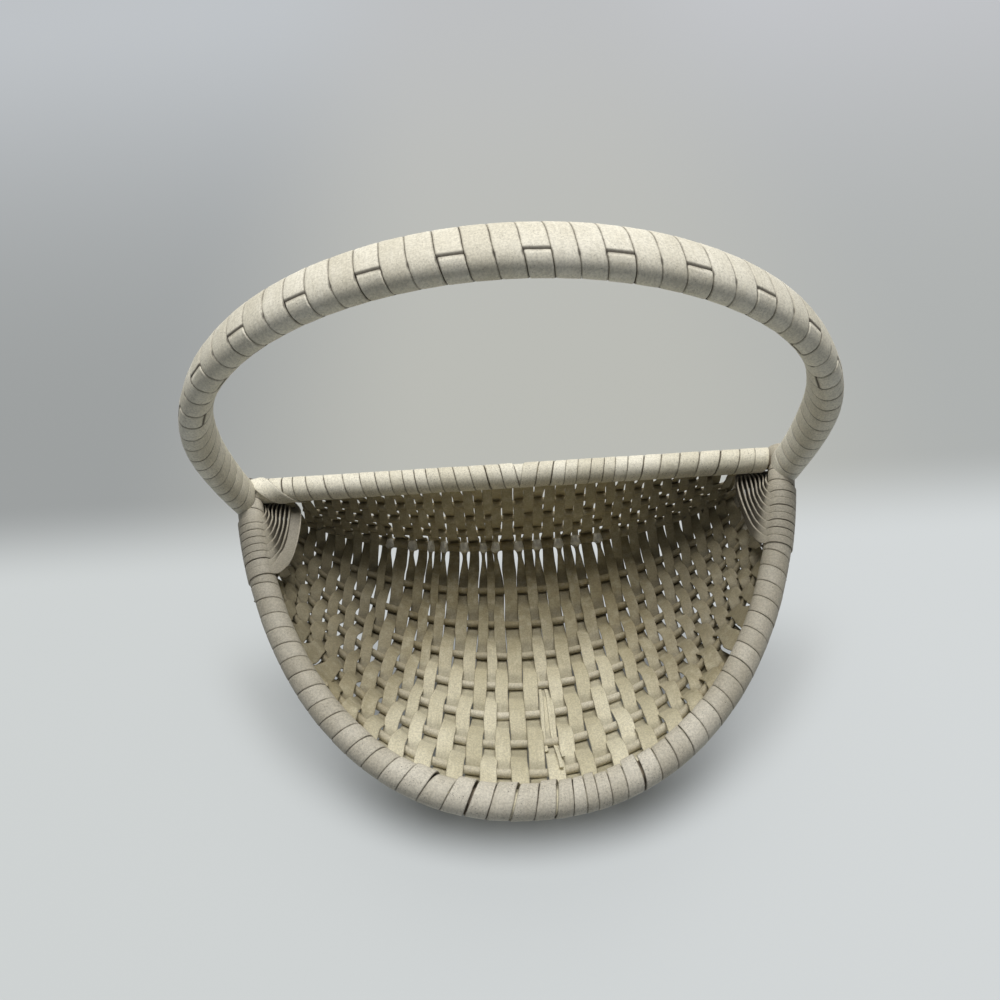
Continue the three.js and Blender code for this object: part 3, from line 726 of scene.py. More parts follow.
# Sizes of the woven strips
REED_WIDTH = 8.7
REED_CLEARANCE = 0.12
REED_UNDER_BAR = BAR_OUTER - 1.05
REED_UNDER_RIM = -1.2
RIM_LIFT = 5.0
RIM_BLEND = 16
FOLD_WIDTH = 5.0
PASS_STEPS = 201
STEP_LENGTH = 1.4
TURN_STEPS = 14
LAP_TWIST = math.radians(9)
STRAY_TWIST = math.radians(4)
OUTSIDE_SHADE = 0.5
STRIP_VALUES = ("path", "tangent", "width", "thickness", "tone", "twist", "grime_and_shade", "rounded")

# Shares of its lane that a strip fills, and where fuller ones begin and are full, before the rim
PANEL_FILL = 0.98
BOWL_FILL = 1.05
RIM_FILL = 0.16
SIDE_FILL = 0.6
FLARE_FILL = 0.5
FLARE_WIDTH = 0.55
SIDE_LANES = (0.45, 0.75)
RIM_FILL_RUN = (38, 16)
SIDE_FILL_RUN = (85, 50)
FLARE_START = (45, 25)
FLARE_STOP = (4, 12)

# Knobs over the seam: shares of the width, and thicknesses, at places past the seam
KNOB_WIDTH_AT = (-12, -8, -5, -2.5, 0, 3, 6, 9, 21, 27)
KNOB_WIDTHS = (1, 0.55, 0.65, 1.0, 1.02, 0.78, 0.45, 0.42, 0.95, 1)
KNOB_THICKNESS_AT = (-9, -3, 2, 9, 22)
KNOB_THICKNESSES = (REED_THICKNESS, 4.2, 3.8, 1.8, REED_THICKNESS)
KNOB_LIFT = 1.5
KNOB_TONE = 2.0
KNOB_LATENESS = 2.6
NECK_GRIME_AND_SHADE = 0.5
BESIDE_WIDTH_AT = (-16, -9, -2, 4, 8, 16, 26)
BESIDE_WIDTHS = (1, 1.2, 1.25, 0.95, 1.0, 1.12, 1)

# Split strip at the front: shift, first and last share of the pass, and tilt of each splinter
SPLIT_WEAVER = 6
SPLIT_PASS = 1
SPLINTERS = ((-2.3, 0.62, 0.86, -0.8), (1.2, 0.66, 0.93, 1.2), (2.9, 0.76, 0.9, 1.5))
SPLINTER_WIDTH = 1.9
SPLINTER_THICKNESS = 0.7
SPLINTER_TWIST = math.radians(12)


def lane_side(index, rod_index):
    """Inside the rod is +1. Even passes cross the seam on the inside, where they show as knobs."""
    return 1 if (index + rod_index) % 2 else -1


def lane_x(index, along):
    index = min(max(index, 0), PASSES - 1)
    down = np.clip(along / BACK_HEIGHT, 0, 1)
    fan = np.clip((along - BACK_HEIGHT) / BOWL_LENGTH, 0, 1)
    return bar_lanes[index] * (1 - down) + seam_lanes[index] * (down - fan) + rim_lanes[index] * fan


def lane_pitch(index, along):
    step = lane_x(index + 1, along) - lane_x(index - 1, along)
    return step if index in (0, PASSES - 1) else step / 2


def pass_lift(index, along):
    """Way off the woven surface, and how near each place is to a crossing."""
    crossings = [(0, -lane_side(index, 0) * REED_UNDER_BAR)]
    for k, rod in enumerate(rods):
        x = lane_x(index, rod["along"])
        if abs(x) > rod["end"]:
            continue
        clear = rod_radius(rod, bow_depth(x)) + REED_THICKNESS / 2 + REED_CLEARANCE
        across = unit(along_rods(x, rod["along"]))
        square = math.sqrt(1 - float(np.dot(across, inward(rod["along"]))) ** 2)
        crossings.append((rod["along"], lane_side(index, k) * clear / square))
    crossings.append((PROFILE_LENGTH, -lane_side(index, len(rods) - 1) * RIM_LIFT))
    places, lifts = np.array(crossings, float).T
    span = np.clip(np.searchsorted(places, along, "right") - 1, 0, len(places) - 2)
    share = (along - places[span]) / (places[span + 1] - places[span])
    if knobs[index]:
        share = np.where(places[span + 1] == BACK_HEIGHT, share**KNOB_LATENESS, share)
    ease = (1 - np.cos(math.pi * share)) / 2
    return lifts[span] + (lifts[span + 1] - lifts[span]) * ease, np.abs(1 - 2 * ease)


def pass_width(index, along, near, room):
    """Width of a strip, about as wide as its lane, and fuller before the rim."""
    in_bowl = ramp(along, BACK_HEIGHT, BACK_HEIGHT + 20)
    from_rim = PROFILE_LENGTH - along
    at_side = ramp(abs(lane_places[index]), *SIDE_LANES)
    flare = at_side * ramp(from_rim, *FLARE_START) * ramp(from_rim, *FLARE_STOP)
    fill = (PANEL_FILL + 0.05 * near) * (1 - in_bowl) + (BOWL_FILL + 0.03 * near) * in_bowl
    fill = fill + RIM_FILL * ramp(from_rim, *RIM_FILL_RUN) + FLARE_FILL * flare
    fill = fill + SIDE_FILL * at_side * ramp(from_rim, *SIDE_FILL_RUN)
    most = REED_WIDTH * rng.uniform(0.93, 1.0) * (1 + FLARE_WIDTH * flare)
    return np.minimum(most, room * fill) * (1 + wander(0.03, 50)(along))


def weave_pass(index):
    """One pass from the bar to the rim, with its place and angle on each of them."""
    along = np.linspace(0, PROFILE_LENGTH, PASS_STEPS)
    past_seam = along - BACK_HEIGHT
    lift, near = pass_lift(index, along)
    swing = wander(0.35, 60)(along) * ramp(along, 0, 20) * ramp(along, PROFILE_LENGTH, PROFILE_LENGTH - 20)
    x = lane_x(index, along) + swing
    surface = woven(x, along)
    tangent = along_rods(x, along)
    square = np.linalg.norm(np.cross(tangent, heading_of(surface)), axis=1)
    width = pass_width(index, along, near, lane_pitch(index, along) * square)
    thickness = np.full(PASS_STEPS, REED_THICKNESS)
    tone = np.full(PASS_STEPS, rng.random())
    rounded = np.zeros(PASS_STEPS)
    # Painted shade where a pass runs outside, behind a rod, in the bowl.
    grime_and_shade = OUTSIDE_SHADE * ramp(lift, 1.5, -1.5) * ramp(past_seam, 0, 30)
    if knobs[index]:
        top = hump(past_seam, -1, 4)
        width = width * np.interp(past_seam, KNOB_WIDTH_AT, KNOB_WIDTHS)
        thickness = np.interp(past_seam, KNOB_THICKNESS_AT, KNOB_THICKNESSES)
        lift = lift + KNOB_LIFT * hump(past_seam, 0, 4.5, 2)
        # Knob's top painted pale through its tone: clean paint and painted highlight.
        tone = tone * (1 - top) + KNOB_TONE * top
        rounded = hump(past_seam, 2, 8)
        # Darker neck under the knob's head: grime and painted shade.
        grime_and_shade = grime_and_shade + NECK_GRIME_AND_SHADE * hump(past_seam, 7, 4)
    elif FIRST_KNOB < index < FIRST_KNOB + 2 * len(KNOB_PLACES):
        width = width * np.interp(past_seam, BESIDE_WIDTH_AT, BESIDE_WIDTHS)
    path = surface + inward(along) * lift[:, None]

    # Onto the rim, under its binding
    rim_along = rim_arcs[index] + BAR_RADIUS
    arrival = surface[-1] - surface[-6]
    arrival_angle = math.atan2(np.dot(arrival, rim.side), np.dot(arrival, rim.out(rim_along)))
    rim_angle = arrival_angle + lane_side(index, len(rods) - 1) * math.pi / 2
    bar_angle = (lane_side(index, 0) - 1) * math.pi / 2
    blend = ramp(along, PROFILE_LENGTH - RIM_BLEND, PROFILE_LENGTH)[:, None]
    path = path + (rim.at(rim_along, rim_angle, REED_UNDER_RIM) - path[-1]) * blend
    tangent = unit(unit(tangent) * (1 - blend) + rim.heading(rim_along) * blend)
    return {
        "path": path, "tangent": tangent, "width": width, "thickness": thickness, "tone": tone,
        "twist": LAP_TWIST * (1 - near), "grime_and_shade": grime_and_shade, "rounded": rounded,
        "rim": (rim_along, rim_angle), "bar": (x[0] + BAR_END, bar_angle),
    }


def fold(stick, before, after, under):
    """Half turn of a weaver round a stick, under its binding."""
    share = np.linspace(0, 1, TURN_STEPS + 2)[1:-1]
    along = before[0] + (after[0] - before[0]) * share
    angle = before[1] + (after[1] - before[1]) * share
    plain = np.zeros(TURN_STEPS)
    return {
        "path": stick.at(along, angle, under), "tangent": stick.heading(along),
        "width": plain + FOLD_WIDTH, "thickness": plain + REED_THICKNESS, "tone": plain + 0.5,
        "twist": plain, "grime_and_shade": plain, "rounded": plain,
    }


def splinters(shell, this):
    """Narrow splinters that come off the inside of a split pass."""
    headings = heading_of(this["path"])
    for shift, first, last, tilt in SPLINTERS:
        part = slice(int(first * PASS_STEPS), int(last * PASS_STEPS))
        path = this["path"][part]
        tangent = this["tangent"][part]
        loose = smooth(np.linspace(-0.4, 1, len(path)))[:, None]
        off = unit(np.cross(headings[part], tangent))
        path = path + unit(tangent) * (shift + tilt * loose) + off * (1.0 + 0.9 * loose)
        twist = SPLINTER_TWIST * np.sign(shift)
        strip(shell, path, off, SPLINTER_WIDTH, SPLINTER_THICKNESS, 0.95, twist)


def weaver_piece(number):
    """One unbroken strip: down and along the bowl, round the rim, back up, round the bar and so on."""
    passes = [weave_pass(number * PASSES_PER_WEAVER + i) for i in range(PASSES_PER_WEAVER)]
    runs = []
    for i, this in enumerate(passes):
        upwards = i % 2 == 1
        if upwards:
            runs.append(fold(rim, passes[i - 1]["rim"], this["rim"], REED_UNDER_RIM))
        elif i:
            runs.append(fold(bar, passes[i - 1]["bar"], this["bar"], REED_UNDER_BAR - BAR_OUTER))
        order = -1 if upwards else 1
        run = {key: this[key][::order] for key in STRIP_VALUES}
        run["twist"] = order * run["twist"]
        runs.append(run)
    whole = {key: np.concatenate([run[key] for run in runs]) for key in STRIP_VALUES}
    path = whole["path"]
    normals = unit(np.cross(whole["tangent"], heading_of(path)))
    twist = whole["twist"] + wander(STRAY_TWIST, 60)(np.arange(len(path)) * STEP_LENGTH)
    shell = Shell()
    strip(shell, path, normals, whole["width"], whole["thickness"], whole["tone"], twist,
          whole["grime_and_shade"], whole["rounded"])
    if number == SPLIT_WEAVER:
        splinters(shell, passes[SPLIT_PASS])
    name = f"weaver_{number + 1:02d}"
    shell.piece(name + "_reed", weave_paint, [name])


for number in range(PASSES // PASSES_PER_WEAVER):
    weaver_piece(number)


# Reed wound round a stick
WRAP_STEPS = 36
HANDLE_STEPS = 72
WRAP_LEAN = 0.14
WRAP_STRAY = 0.08
LAID_STEP = 1.5


def line_widths(values):
    """Widths of the lines left bare between turns, one before each turn and one after the last."""
    return lambda turns: np.interp(turns, np.arange(len(values)) - 0.5, values)


def mostly_tight_lines(count, tight, open_ones, opened):
    """Bare lines of random widths between two limits, with a few open ones among them."""
    values = [rng.uniform(*tight) for _ in range(count)]
    for line in open_ones:
        values[line] = rng.uniform(*opened)
    return line_widths(values)


def random_lines(count, least, most, wide_share=0.0, widest=0.0):
    """Bare lines of random widths, a share of them wide."""
    values = []
    for _ in range(count + 2):
        wide = rng.random() < wide_share
        values.append(rng.uniform(most, widest) if wide else rng.uniform(least, most))
    return line_widths(values)


def wound(shell, stick, places, first, last, hand, bare, phase=0.0, steps=WRAP_STEPS,
          reach=None, dip=None, trim=None):
    """Turns of flat reed centred on the given places, one place for every whole turn.

    Turns may reach in over the weave, dip under what crosses them, and be trimmed at the stick's ends.
    """
    turns = np.arange(first, last + 1e-6, 1 / steps)
    count = len(places)

    def place(at):
        inside = np.interp(at, np.arange(count), places)
        before = np.minimum(at, 0) * (places[1] - places[0])
        return inside + before + np.maximum(at - count + 1, 0) * (places[-1] - places[-2])

    lower = place(turns - 0.5) + bare(turns - 0.5) / 2
    upper = place(turns + 0.5) - bare(turns + 0.5) / 2
    centre, wide = (lower + upper) / 2, upper - lower
    angle = hand * 2 * math.pi * turns + phase
    lean = WRAP_LEAN * wander(1.0, 1.7)(turns)
    raised = WRAP_STRAY * wander(1.0, 1.3)(turns) - WRAP_THICKNESS / 2
    grime_and_shade = 0.0
    if dip is not None:
        sunk, grime_and_shade = dip(turns)
        raised = raised + sunk
    if reach is not None:
        inner = np.maximum(0, np.cos(angle - reach["angle"])) ** 2
        inner = inner * hump(centre, stick.length / 2, reach["run"])
        wide = wide * (1 - reach["pinch"] * inner)
        far_shares = [rng.random() for _ in range(count + 1)]
        far = reach["size"] * inner * np.interp(turns, np.arange(count + 1), far_shares)
    along = centre[:, None] + wide[:, None] * SECTION_ACROSS
    if trim is not None:
        along = np.clip(along, -trim, stick.length + trim)
    rounded = WRAP_CROWN * (1 - (2 * SECTION_ACROSS) ** 2)
    height = raised[:, None] + WRAP_THICKNESS * SECTION_ABOVE + lean[:, None] * SECTION_ACROSS + rounded
    rings = stick.at(along, np.broadcast_to(angle[:, None], along.shape), height)
    if reach is not None:
        way = stick.out(along) * math.cos(reach["angle"]) + stick.side * math.sin(reach["angle"])
        rings = rings + far[:, None, None] * way
    run = turns * math.pi * (stick.sizes[0] + stick.sizes[1])
    tones = [rng.random() for _ in range(count + 3)]
    shell.sweep(rings, reed_uvs(run), np.interp(turns, np.arange(-1, count + 2), tones), grime_and_shade)


def laid(shell, stick, along, angle, width, above, thickness, tone):
    """Flat reed laid aslant on a stick, hugging it."""
    radius = stick.sizes[0]
    step = unit(columns(np.gradient(along), np.gradient(angle) * radius))
    offset = width * SECTION_ACROSS
    where = along[:, None] - step[:, 1:] * offset
    turn = angle[:, None] + step[:, :1] * offset / radius
    rings = stick.at(where, turn, above + thickness * SECTION_ABOVE)
    shell.sweep(rings, reed_uvs(np.linspace(0, len(along) * LAID_STEP, len(along))), tone)


def jittered(start, end, count, jitter):
    pitch = (end - start) / (count - 1)
    places = start + pitch * np.arange(count)
    return places + strays(count, jitter)


# Back bar: uneven turns, their widths in mm from the left to the right, and two ways of leaning
BAR_BANDS = (7.9, 7.9, 3.9, 9.5, 10.7, 11.2, 8.4, 9.0, 7.9, 6.7, 6.7, 6.2, 7.9, 8.4, 9.0, 9.0, 7.9,
             7.9, 9.0, 9.0, 7.3, 6.2, 7.3, 7.9, 6.2, 5.6, 9.0, 9.5, 10.1, 10.7, 11.2, 12.3, 8.4, 7.3)
BAR_BANDS_START = -143.0
FRONT_SIDE = math.pi
OPEN_BAR_LINES = (2, 8, 11, 16, 20, 27, 31)
BAR_LINE = (0.03, 0.15)
OPEN_BAR_LINE = (0.3, 0.7)
MEETING_DEPTH = 0.6
STRAP_STEPS = 60
STRAP_ANGLES = (-50, -285)
STRAP_RUN = (-4, 27)
STRAP_WIDTH = 8.8
STRAP_ABOVE = 0.45
STRAP_THICKNESS = 0.9
STRAP_TONE = 0.9
bar_edges = BAR_END + BAR_BANDS_START + running_sum(BAR_BANDS)
bar_places = (bar_edges[:-1] + bar_edges[1:]) / 2
bar_half = len(bar_places) // 2
bar_bare = mostly_tight_lines(len(bar_places) + 1, BAR_LINE, OPEN_BAR_LINES, OPEN_BAR_LINE)


def meeting(turns):
    """The last half turn from the left sinks under the first one from the right."""
    return -MEETING_DEPTH * ramp(turns, bar_half + 0.35, bar_half + 0.55), 0.0


shell = Shell()
wound(shell, bar, bar_places, -0.6, bar_half + 1.05, -1, bar_bare, phase=FRONT_SIDE, dip=meeting)
strap_angle = np.radians(np.linspace(*STRAP_ANGLES, STRAP_STEPS))
strap_along = np.linspace(*STRAP_RUN, STRAP_STEPS)
laid(shell, bar, strap_along, strap_angle, STRAP_WIDTH, STRAP_ABOVE, STRAP_THICKNESS, STRAP_TONE)
shell.piece("bar_wrap_left", bar_paint, ["bar_binding_left"])
shell = Shell()
wound(shell, bar, bar_places, bar_half + 0.5, len(bar_places) - 0.4, 1, bar_bare, phase=FRONT_SIDE)
shell.piece("bar_wrap_right", bar_paint, ["bar_binding_right"])

# Front rim: uneven bands across the middle, even ones beyond them, and a few open lines
LASHED = LASHING_START + LASHING_PITCH * LASHING_TURNS
RIM_BANDS = (10.3, 12.2, 9.3, 9.3, 10.3, 11.2, 7.5, 8.9, 4.2, 5.1, 6.1, 7.5, 8.9, 7.9)
RIM_BANDS_START = -59.2
RIM_SIDE_TURNS = 15
RIM_JITTER = 0.35
LASHED_LAP = 4
OPEN_RIM_LINES = RIM_SIDE_TURNS + np.array([3, 5, 7, 13])
RIM_LINE = (0.04, 0.2)
OPEN_RIM_LINE = (0.7, 1.1)
RIM_TOP = -math.pi / 2
band_edges = rim.length / 2 + RIM_BANDS_START + running_sum(RIM_BANDS)
before = jittered(LASHED - LASHED_LAP, band_edges[0], RIM_SIDE_TURNS + 1, RIM_JITTER)
beyond = jittered(band_edges[-1], rim.length - LASHED + LASHED_LAP, RIM_SIDE_TURNS + 1, RIM_JITTER)
rim_edges = np.concatenate([before[:-1], band_edges, beyond[1:]])
rim_places = (rim_edges[:-1] + rim_edges[1:]) / 2
rim_bare = mostly_tight_lines(len(rim_places) + 1, RIM_LINE, OPEN_RIM_LINES, OPEN_RIM_LINE)
rim_reach = {"angle": math.radians(-12), "pinch": 0.05, "size": 3.0, "run": 85}
rim_half = len(rim_places) // 2
rim_last = len(rim_places) - 1
for part, first, last in (("left", -0.4, rim_half + 0.5), ("right", rim_half + 0.5, rim_last + 0.4)):
    shell = Shell()
    wound(shell, rim, rim_places, first, last, 1, rim_bare, phase=RIM_TOP, reach=rim_reach)
    shell.piece(f"rim_wrap_{part}", grubby_shaded_paint, [f"rim_binding_{part}"])

# Handle: wide turns over the crown, narrower ones down the legs
HANDLE_HAND = -1
HANDLE_PHASE = math.pi / 2
LEG_PITCH_SHARE = 0.68
LEG_SHARE = 0.3
HANDLE_JITTER = 0.4
handle_share = np.linspace(0, 1, 400)
over_crown = ramp(np.minimum(handle_share, 1 - handle_share), 0, LEG_SHARE)
turn_pitch = LEG_PITCH_SHARE + (1 - LEG_PITCH_SHARE) * over_crown
turn_count = running_sum(0.5 / turn_pitch[1:] + 0.5 / turn_pitch[:-1])
turn_count = turn_count / turn_count[-1] * HANDLE_TURNS
handle_places = np.interp(np.arange(HANDLE_TURNS + 1), turn_count, handle_share * handle.length)
handle_places = handle_places + strays(HANDLE_TURNS + 1, HANDLE_JITTER)

# Core of the handle, a little slimmer at the feet like the turns round it
CORE_SIDES = 24
CORE_STEPS = 241
CORE_DEPTH = 0.3
along = np.linspace(0, handle.length, CORE_STEPS)[:, None]
around = 2 * math.pi * np.arange(CORE_SIDES)[None] / CORE_SIDES
rings = handle.at(along, around, -WRAP_THICKNESS - CORE_DEPTH)
uvs = columns(along / UV_LENGTH, np.abs(around / math.pi - 1))
shell = Shell()
shell.sweep(rings, uvs, 0.5)
shell.piece("handle_core_round", stick_wood, ["handle_core"])

# Listings: strips along the front and rear faces that come up over every third turn
LISTING_EVERY = 3
LISTING_FIRST = 10
LISTING_HALF = math.radians(46)
FRONT_LISTING = math.radians(-80)
REAR_LISTING = math.radians(108)
LISTING_EDGE = math.radians(4)
LISTING_THICKNESS = 0.6
LISTING_SUNK = 0.25
LISTING_PROUD = 0.08
LISTING_CREST = 0.1
LISTING_LAP = 0.35
LISTING_RISE = 0.7
LISTING_MARGIN = 7
LISTING_STEP = 0.3
LISTING_POINTS = 11
TAB_ROOM = 0.2
TAB_LINE = math.radians(8)
TAB_CORNER = math.radians(14)
FACES = {"front": FRONT_LISTING, "rear": REAR_LISTING}
TABS = list(range(LISTING_FIRST, HANDLE_TURNS - LISTING_FIRST + 1, LISTING_EVERY))


def face_turn(face):
    """Share of a turn at which the reed crosses the middle of a listing."""
    return (HANDLE_HAND * (FACES[face] - HANDLE_PHASE) / (2 * math.pi)) % 1


def under_tabs(first_turn):
    """Sinks every third turn under the listings, with grime and painted shade along the listings' edges."""
    def dip(turns):
        sunk = np.zeros(len(turns))
        grime_and_shade = np.zeros((len(turns), SECTION_POINTS))
        edges = np.abs(SECTION_ACROSS) > 0.42
        for face in FACES:
            crossing = turns + first_turn - face_turn(face)
            number = np.round(crossing)
            off = np.abs(crossing - number) * 2 * math.pi
            covered = np.isin(number, TABS)
            beside = np.isin(number - 1, TABS) | np.isin(number + 1, TABS)
            under = ramp(off, LISTING_HALF + LISTING_EDGE, LISTING_HALF) * covered
            sunk = sunk - (LISTING_THICKNESS + TAB_ROOM) * under
            line = hump(off, LISTING_HALF + LISTING_EDGE / 2, TAB_LINE, 2) * covered
            grime_and_shade = np.maximum(grime_and_shade, line[:, None])
            near = hump(off, LISTING_HALF - LISTING_EDGE, TAB_CORNER, 2) * (covered | beside)
            grime_and_shade = np.maximum(grime_and_shade, 0.7 * near[:, None] * edges)
        return sunk, grime_and_shade

    return dip


third = HANDLE_TURNS // 3
for i, part in enumerate(("left", "crown", "right")):
    shell = Shell()
    first = -0.2 if i == 0 else 0.02
    last = third + 0.2 if i == 2 else third
    places = handle_places[third * i : third * (i + 1) + 1]
    bare = random_lines(third + 1, 0.02, 0.1, 0.12, 0.3)
    wound(shell, handle, places, first, last, HANDLE_HAND, bare, HANDLE_PHASE, HANDLE_STEPS,
          dip=under_tabs(third * i))
    shell.piece(f"handle_wrap_{part}", wrap_paint, [f"handle_binding_{part}"])


def listing(face):
    pitch = handle.length / HANDLE_TURNS
    along = np.arange(pitch * LISTING_MARGIN, handle.length - pitch * LISTING_MARGIN, LISTING_STEP)
    over = np.zeros(len(along))
    number = np.arange(HANDLE_TURNS + 1)
    for tab in TABS:
        turn = tab + face_turn(face)
        lower, upper = np.interp((turn - 0.5, turn + 0.5), number, handle_places)
        past = np.abs(along - (lower + upper) / 2) - (upper - lower) / 2 + LISTING_LAP
        over = np.maximum(over, 1 - np.clip(past / LISTING_RISE + 0.5, 0, 1))
    over = smooth(over)
    angles = np.linspace(-LISTING_HALF, LISTING_HALF, LISTING_POINTS)
    slant = HANDLE_HAND * pitch * angles / (2 * math.pi)
    low_height = -WRAP_THICKNESS - LISTING_SUNK
    top_height = (low_height + over * (LISTING_PROUD - low_height))[:, None]
    crest = LISTING_CREST * (1 - np.linspace(-1, 1, LISTING_POINTS) ** 4)
    angle = np.broadcast_to(FACES[face] + angles, (len(along), LISTING_POINTS))
    where = along[:, None] + slant
    top = handle.at(where, angle, top_height + crest)
    bottom = handle.at(where, angle, top_height - LISTING_THICKNESS)
    rings = np.concatenate([top, bottom[:, ::-1]], axis=1)
    across = np.linspace(0, 1, LISTING_POINTS)
    across = np.concatenate([across, across[::-1]])
    uvs = columns(along[:, None] / UV_LENGTH, across)
    # Darker where the listing lies sunk under the turns: grime and painted shade.
    grime_and_shade = np.broadcast_to((1 - over)[:, None], uvs.shape[:2])
    shell = Shell()
    shell.sweep(rings, uvs, 0.55, grime_and_shade)
    shell.piece(f"listing_{face}_strip", wrap_paint, [f"handle_listing_{face}"])


listing("front")
listing("rear")


# Corner lashings: strands from the gathered rib ends out round the rim, at the right corner, then mirrored
ROUND_RIM = np.radians([-25, -48, -72, -100, -135, -170, -205, -240, -275, -305, -330])
OVER_RIM = 0.3
STRAND_STEPS = 6
STRAND_THICKNESS = 0.9
STRAND_WIDTHS = (5.0, 5.5, 5.0)
UNDER_WIDTHS = (4.0, 3.4, 2.0)
RING_WIDTH = LASHING_PITCH - 0.2
GATHER = np.array([142.0, -7.0, -7.2])
GATHER_STEP = np.array([-2.3, -0.15, -0.35])
INNER = np.array([0, 2.2, -2.0])
INNER_STEP = np.array([0, 0.2, -0.45])
INNER_OUT = RIM_OUTER + 1.2
INNER_OUT_STEP = 0.75
UPPER_BLEND = (0.449, 0.442, 0.109)
LOWER_BLEND = (0.116, 0.449, 0.436)
BEHIND = np.array([133.5, 3.4, -12.0])
BEHIND_STEP = np.array([-0.3, 0, -0.4])
UNDER_RIBS = 5.2
BELLY_AT = 0.62 * PROFILE_LENGTH
HEEL_AT = 0.26 * PROFILE_LENGTH
ON_EDGE = np.array([-0.9, -0.1, 0.0])
ON_FLAT = np.array([-0.35, -0.4, 0.85])
TURNING = np.array([-0.9, -0.1, 0.6])
FACING_BACK = np.array([0.2, 0.97, -0.1])
STRAP_BROAD = 1.45
STRAND_DARKENING = (0.9, 0.85, 0.7)
BROAD_DARKENING = (0.75, 0.55, 0.4)
UNDER_DARKENING = (0.3, 0.4, 0.5)
KNOT_ENDS = ((126.0, -6.0, -10.5), (148.0, -7.0, -8.5))
KNOT_STEPS = 12
KNOT_FACING = (0.0, -0.6, 0.8)
KNOT_WIDTH = 9.0
KNOT_THICKNESS = 1.2
TAIL_TURNS = np.array([2.0, 10.5, 18.5, LASHING_START - 0.5])
TAIL_TRIM = 0.3


def lashing(name, node, right):
    """Strands at a corner, the left one's last a broad strap, with a knot behind darkened as painted shade,
    and the rim's bound tail.
    """
    mirror = np.array([1.0 if right else -1.0, 1, 1])
    shell = Shell()
    points, normals, widths, darkening = [], [], [], []
    for k in range(LASHING_TURNS):
        along = rim.length - LASHING_START - LASHING_PITCH * (k + 0.5) + rng.uniform(-0.3, 0.3)
        strap = not right and k == LASHING_TURNS - 1
        broad = STRAP_BROAD if strap else 1.0
        middle = rim.middle(along)
        gather = GATHER + GATHER_STEP * k
        inner = middle + rim.out(along) * (INNER_OUT + INNER_OUT_STEP * k) + INNER + INNER_STEP * k
        ring = rim.at(along, ROUND_RIM, OVER_RIM)
        upper, lower = (a * gather + b * inner + c * ring[0] for a, b, c in (UPPER_BLEND, LOWER_BLEND))
        behind = BEHIND + BEHIND_STEP * k
        belly, heel = (woven(behind[0], at) - UNDER_RIBS * inward(at) for at in (BELLY_AT, HEEL_AT))
        points += [gather, upper, lower, *ring, belly, heel, behind]
        facing = ON_FLAT if strap else ON_EDGE
        normals += [facing, facing, unit(facing + TURNING), *unit(ring - middle)]
        normals += [-inward(BELLY_AT), -inward(HEEL_AT), FACING_BACK]
        widths += [width * broad for width in STRAND_WIDTHS]
        widths += [RING_WIDTH * broad**0.5] * len(ROUND_RIM) + [*UNDER_WIDTHS]
        # Strands darkest at the gather under the bar, clean round the rim, a little darker under the bowl.
        darkening += [*(BROAD_DARKENING if strap else STRAND_DARKENING)]
        darkening += [0.0] * len(ROUND_RIM) + [*UNDER_DARKENING]
    path = through(points, STRAND_STEPS) * mirror
    facing = unit(between(normals, STRAND_STEPS)) * mirror
    edge_share = np.where(np.abs(SECTION_ACROSS) > 0.45, 0.35, 1.0)
    strip(shell, path, facing, between(widths, STRAND_STEPS)[:, 0], STRAND_THICKNESS, 0.45,
          grime_and_shade=between(darkening, STRAND_STEPS) * edge_share)
    knot = np.linspace(*KNOT_ENDS, KNOT_STEPS) * mirror
    # Knot behind the strands, nearly black: painted shade.
    strip(shell, knot, np.tile(KNOT_FACING, (KNOT_STEPS, 1)), KNOT_WIDTH, KNOT_THICKNESS, 0.3, grime_and_shade=0.9)
    places = rim.length - TAIL_TURNS[::-1] if right else TAIL_TURNS
    first, last = (-0.35, 3.0) if right else (0.0, 3.35)
    wound(shell, rim, places, first, last, 1, random_lines(4, 0.05, 0.2), trim=TAIL_TRIM)
    shell.piece(name, grubby_shaded_paint, [node])


lashing("lashing_left_strands", "corner_lashing_left", False)
lashing("lashing_right_strands", "corner_lashing_right", True)


# Floor: a pale table in front and greyer ground behind, at its left, middle and right, near and far
FLOOR_HALF = 6.0
FLOOR_GAP = 0.0006
BACK_COLOURS = (
    ((157, 160, 160), (190, 194, 198)),
    ((186, 187, 181), (188, 190, 192)),
    ((174, 177, 176), (194, 196, 200)),
)
FRONT_COLOURS = ((207, 211, 211), (212, 216, 217))
BACK_RUN = (0.1, 0.9)
TABLE_EDGE = (-0.012, 0.06)
SHADE_HALF_WIDTH = 0.19
SHADE_DEPTH = 0.172
SHADE_EDGE = (0.98, 1.16)
SHADE_RUN = (-0.1, -0.04)
SHADE_SIDES = (0.045, 0.125)
SHADE_AMOUNTS = (0.88, 0.42)
GLOW_SHARE = 0.92


